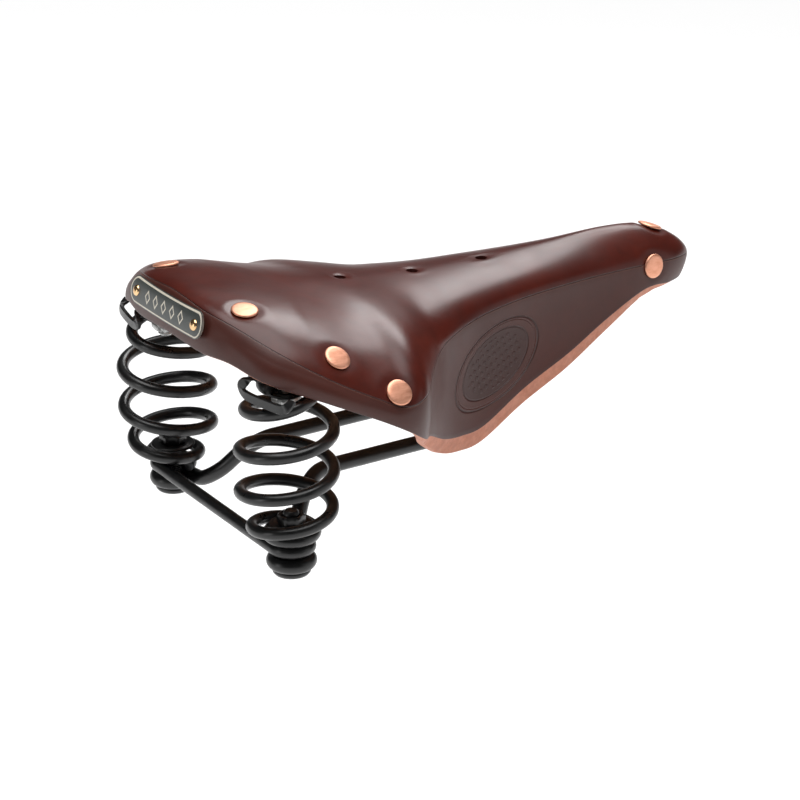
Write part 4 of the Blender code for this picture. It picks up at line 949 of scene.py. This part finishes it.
def bag_loop(side, tag):
    """A flat tongue under the lug and a hoop of flat strip hanging from it, edges broken."""
    bm = bmesh.new()
    outline = arc(0, SPRING_Y, 8.5, -110, 110, 40) + [(-13.8, SPRING_Y + 0.6), (-13.8, SPRING_Y - 7.4)]
    rim = [bm.verts.new(at(x, side * y, TONGUE_LOW)) for x, y in outline]
    plate = bmesh.ops.contextual_create(bm, geom=rim)["faces"]
    made = bmesh.ops.extrude_face_region(bm, geom=plate)["geom"]
    raised = [g for g in made if isinstance(g, bmesh.types.BMVert)]
    bmesh.ops.translate(bm, vec=UP * LOOP_PLATE * MM, verts=raised)
    bmesh.ops.recalc_face_normals(bm, faces=bm.faces)
    hard = [e for e in bm.edges if e.calc_face_angle(0) > math.radians(60)]
    broken(bm, hard, 0.25, 2)
    line = flowing([(x, y + SPRING_Y - 52.4, z + TONGUE_LOW - 62.9) for x, y, z in HOOP], 0.8)
    line = [at(x, side * y, z) for x, y, z in line]
    across = Vector((1, side * -0.1, 0)).normalized()
    strip = bmesh.new()
    half_t, half_w, soft = LOOP_PLATE / 2, LOOP_WIDTH / 2, 0.35
    corner = [(half_t - soft, half_w), (half_t, half_w - soft)]
    corner += [(a, -b) for a, b in corner[::-1]]
    corner += [(-a, -b) for a, b in corner]
    edges = None
    count = len(line)
    for k, p in enumerate(line):
        t = (line[min(k + 1, count - 1)] - line[max(k - 1, 0)]).normalized()
        lean = max(0.0, 1 - k / (0.3 * count))
        thick = (across * (1 - 0.5 * lean) + UP * 0.87 * lean).normalized()
        thick = (thick - t * thick.dot(t)).normalized()
        wide = thick.cross(t)
        if edges is None:
            ring = bmesh.ops.create_circle(strip, cap_ends=True, segments=8, radius=1)["verts"]
            edges = list(strip.faces[:][0].edges)
            order = ring
        else:
            made = bmesh.ops.extrude_edge_only(strip, edges=edges)["geom"]
            fresh = [g for g in made if isinstance(g, bmesh.types.BMVert)]
            edges = [g for g in made if isinstance(g, bmesh.types.BMEdge)]
            order = [next(w for w in fresh if (w.co - v.co).length < 1e-9) for v in order]
        for vert, (a, b) in zip(order, corner):
            vert.co = p + (thick * a + wide * b) * MM
    bmesh.ops.contextual_create(strip, geom=edges)
    bmesh.ops.recalc_face_normals(strip, faces=strip.faces)
    loose = bpy.data.meshes.new("strip")
    strip.to_mesh(loose)
    strip.free()
    bm.from_mesh(loose)
    bpy.data.meshes.remove(loose)
    bmesh.ops.recalc_face_normals(bm, faces=bm.faces)
    piece(bm, f"{tag}_bag_loop_strip", "seat_top", (ENAMEL,), (f"{tag}_bag_loop",), sharp=35,
          out=False)


for side, tag in ((1, "left"), (-1, "right")):
    bag_loop(side, tag)

# ---------------------------------------------------------------- pressed steel that keeps its shape
for node in ("cantle_plate", "nose_piece", "rail_yoke"):
    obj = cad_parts[node]
    obj.data.materials.clear()
    obj.data.materials.append(ENAMEL)
    if node != "rail_yoke":
        for polygon in obj.data.polygons:
            polygon.use_smooth = True
        obj.data.set_sharp_from_angle(angle=math.radians(40))

# ---------------------------------------------------------------- floor, light and camera
FLOOR_Z = -0.55
floor_bm = bmesh.new()
bmesh.ops.create_grid(floor_bm, x_segments=1, y_segments=1, size=30)
bmesh.ops.translate(floor_bm, vec=(0, 0, FLOOR_Z), verts=floor_bm.verts)
floor = Finish("pale_floor")
floor_tone = floor.blend(floor.noise(0.4, 2, 0.5), (0.93, 0.93, 0.93), (0.95, 0.95, 0.95))
floor_obj = piece(floor_bm, "studio_floor", None, (floor.done(floor_tone, 0.9, 0.0),), sharp=0, out=False)


def softbox(name, place, target, wide, tall, power):
    light = bpy.data.lights.new(name, "AREA")
    light.shape = "RECTANGLE"
    light.size, light.size_y, light.energy = wide, tall, power
    obj = bpy.data.objects.new(name, light)
    obj.location = place
    obj.rotation_mode = "QUATERNION"
    obj.rotation_quaternion = (Vector(target) - Vector(place)).to_track_quat("-Z", "Y")
    bpy.context.scene.collection.objects.link(obj)


LOOK = (0.03, 0, 0.03)
softbox("overhead", (1.15, 0.85, 1.4), LOOK, 0.95, 0.8, 17)
softbox("near_panel", (1.4, -1.5, 0.45), LOOK, 1.6, 1.2, 3.6)
softbox("rear_panel", (-2.0, 0.1, 0.35), LOOK, 0.5, 0.9, 4)
sky = bpy.data.lights.new("even_top_light", "SUN")
sky.energy, sky.angle = 3.15, math.radians(60)
sky_obj = bpy.data.objects.new("even_top_light", sky)
bpy.context.scene.collection.objects.link(sky_obj)

world = bpy.data.worlds.new("studio")
bpy.context.scene.world = world
world.use_nodes = True
backdrop = world.node_tree.nodes["Background"].inputs
backdrop["Color"].default_value = (1, 1, 1, 1)
backdrop["Strength"].default_value = 0.05

camera_data = bpy.data.cameras.new("camera")
camera_data.lens = 118.56
CAMERA_PLACE = (-0.58237, -0.92872, 0.46813)
camera_data.sensor_width = 36
camera_data.clip_start, camera_data.clip_end = 0.05, 100
camera = bpy.data.objects.new("camera", camera_data)
bpy.context.scene.collection.objects.link(camera)
camera.rotation_mode = "XYZ"
camera.location = CAMERA_PLACE
HEADING, DROP, ROLL = 56.713, 22.2965, 0.2316  # degrees, from +X round to the view, down, and tilt
level = Matrix.Rotation(math.radians(HEADING - 90), 3, "Z") @ Matrix.Rotation(math.radians(90 - DROP), 3, "X")
camera.rotation_euler = (level @ Matrix.Rotation(math.radians(ROLL), 3, "Z")).to_euler()
bpy.context.scene.camera = camera
bpy.context.scene.view_settings.view_transform = "Standard"

bpy.context.view_layer.update()
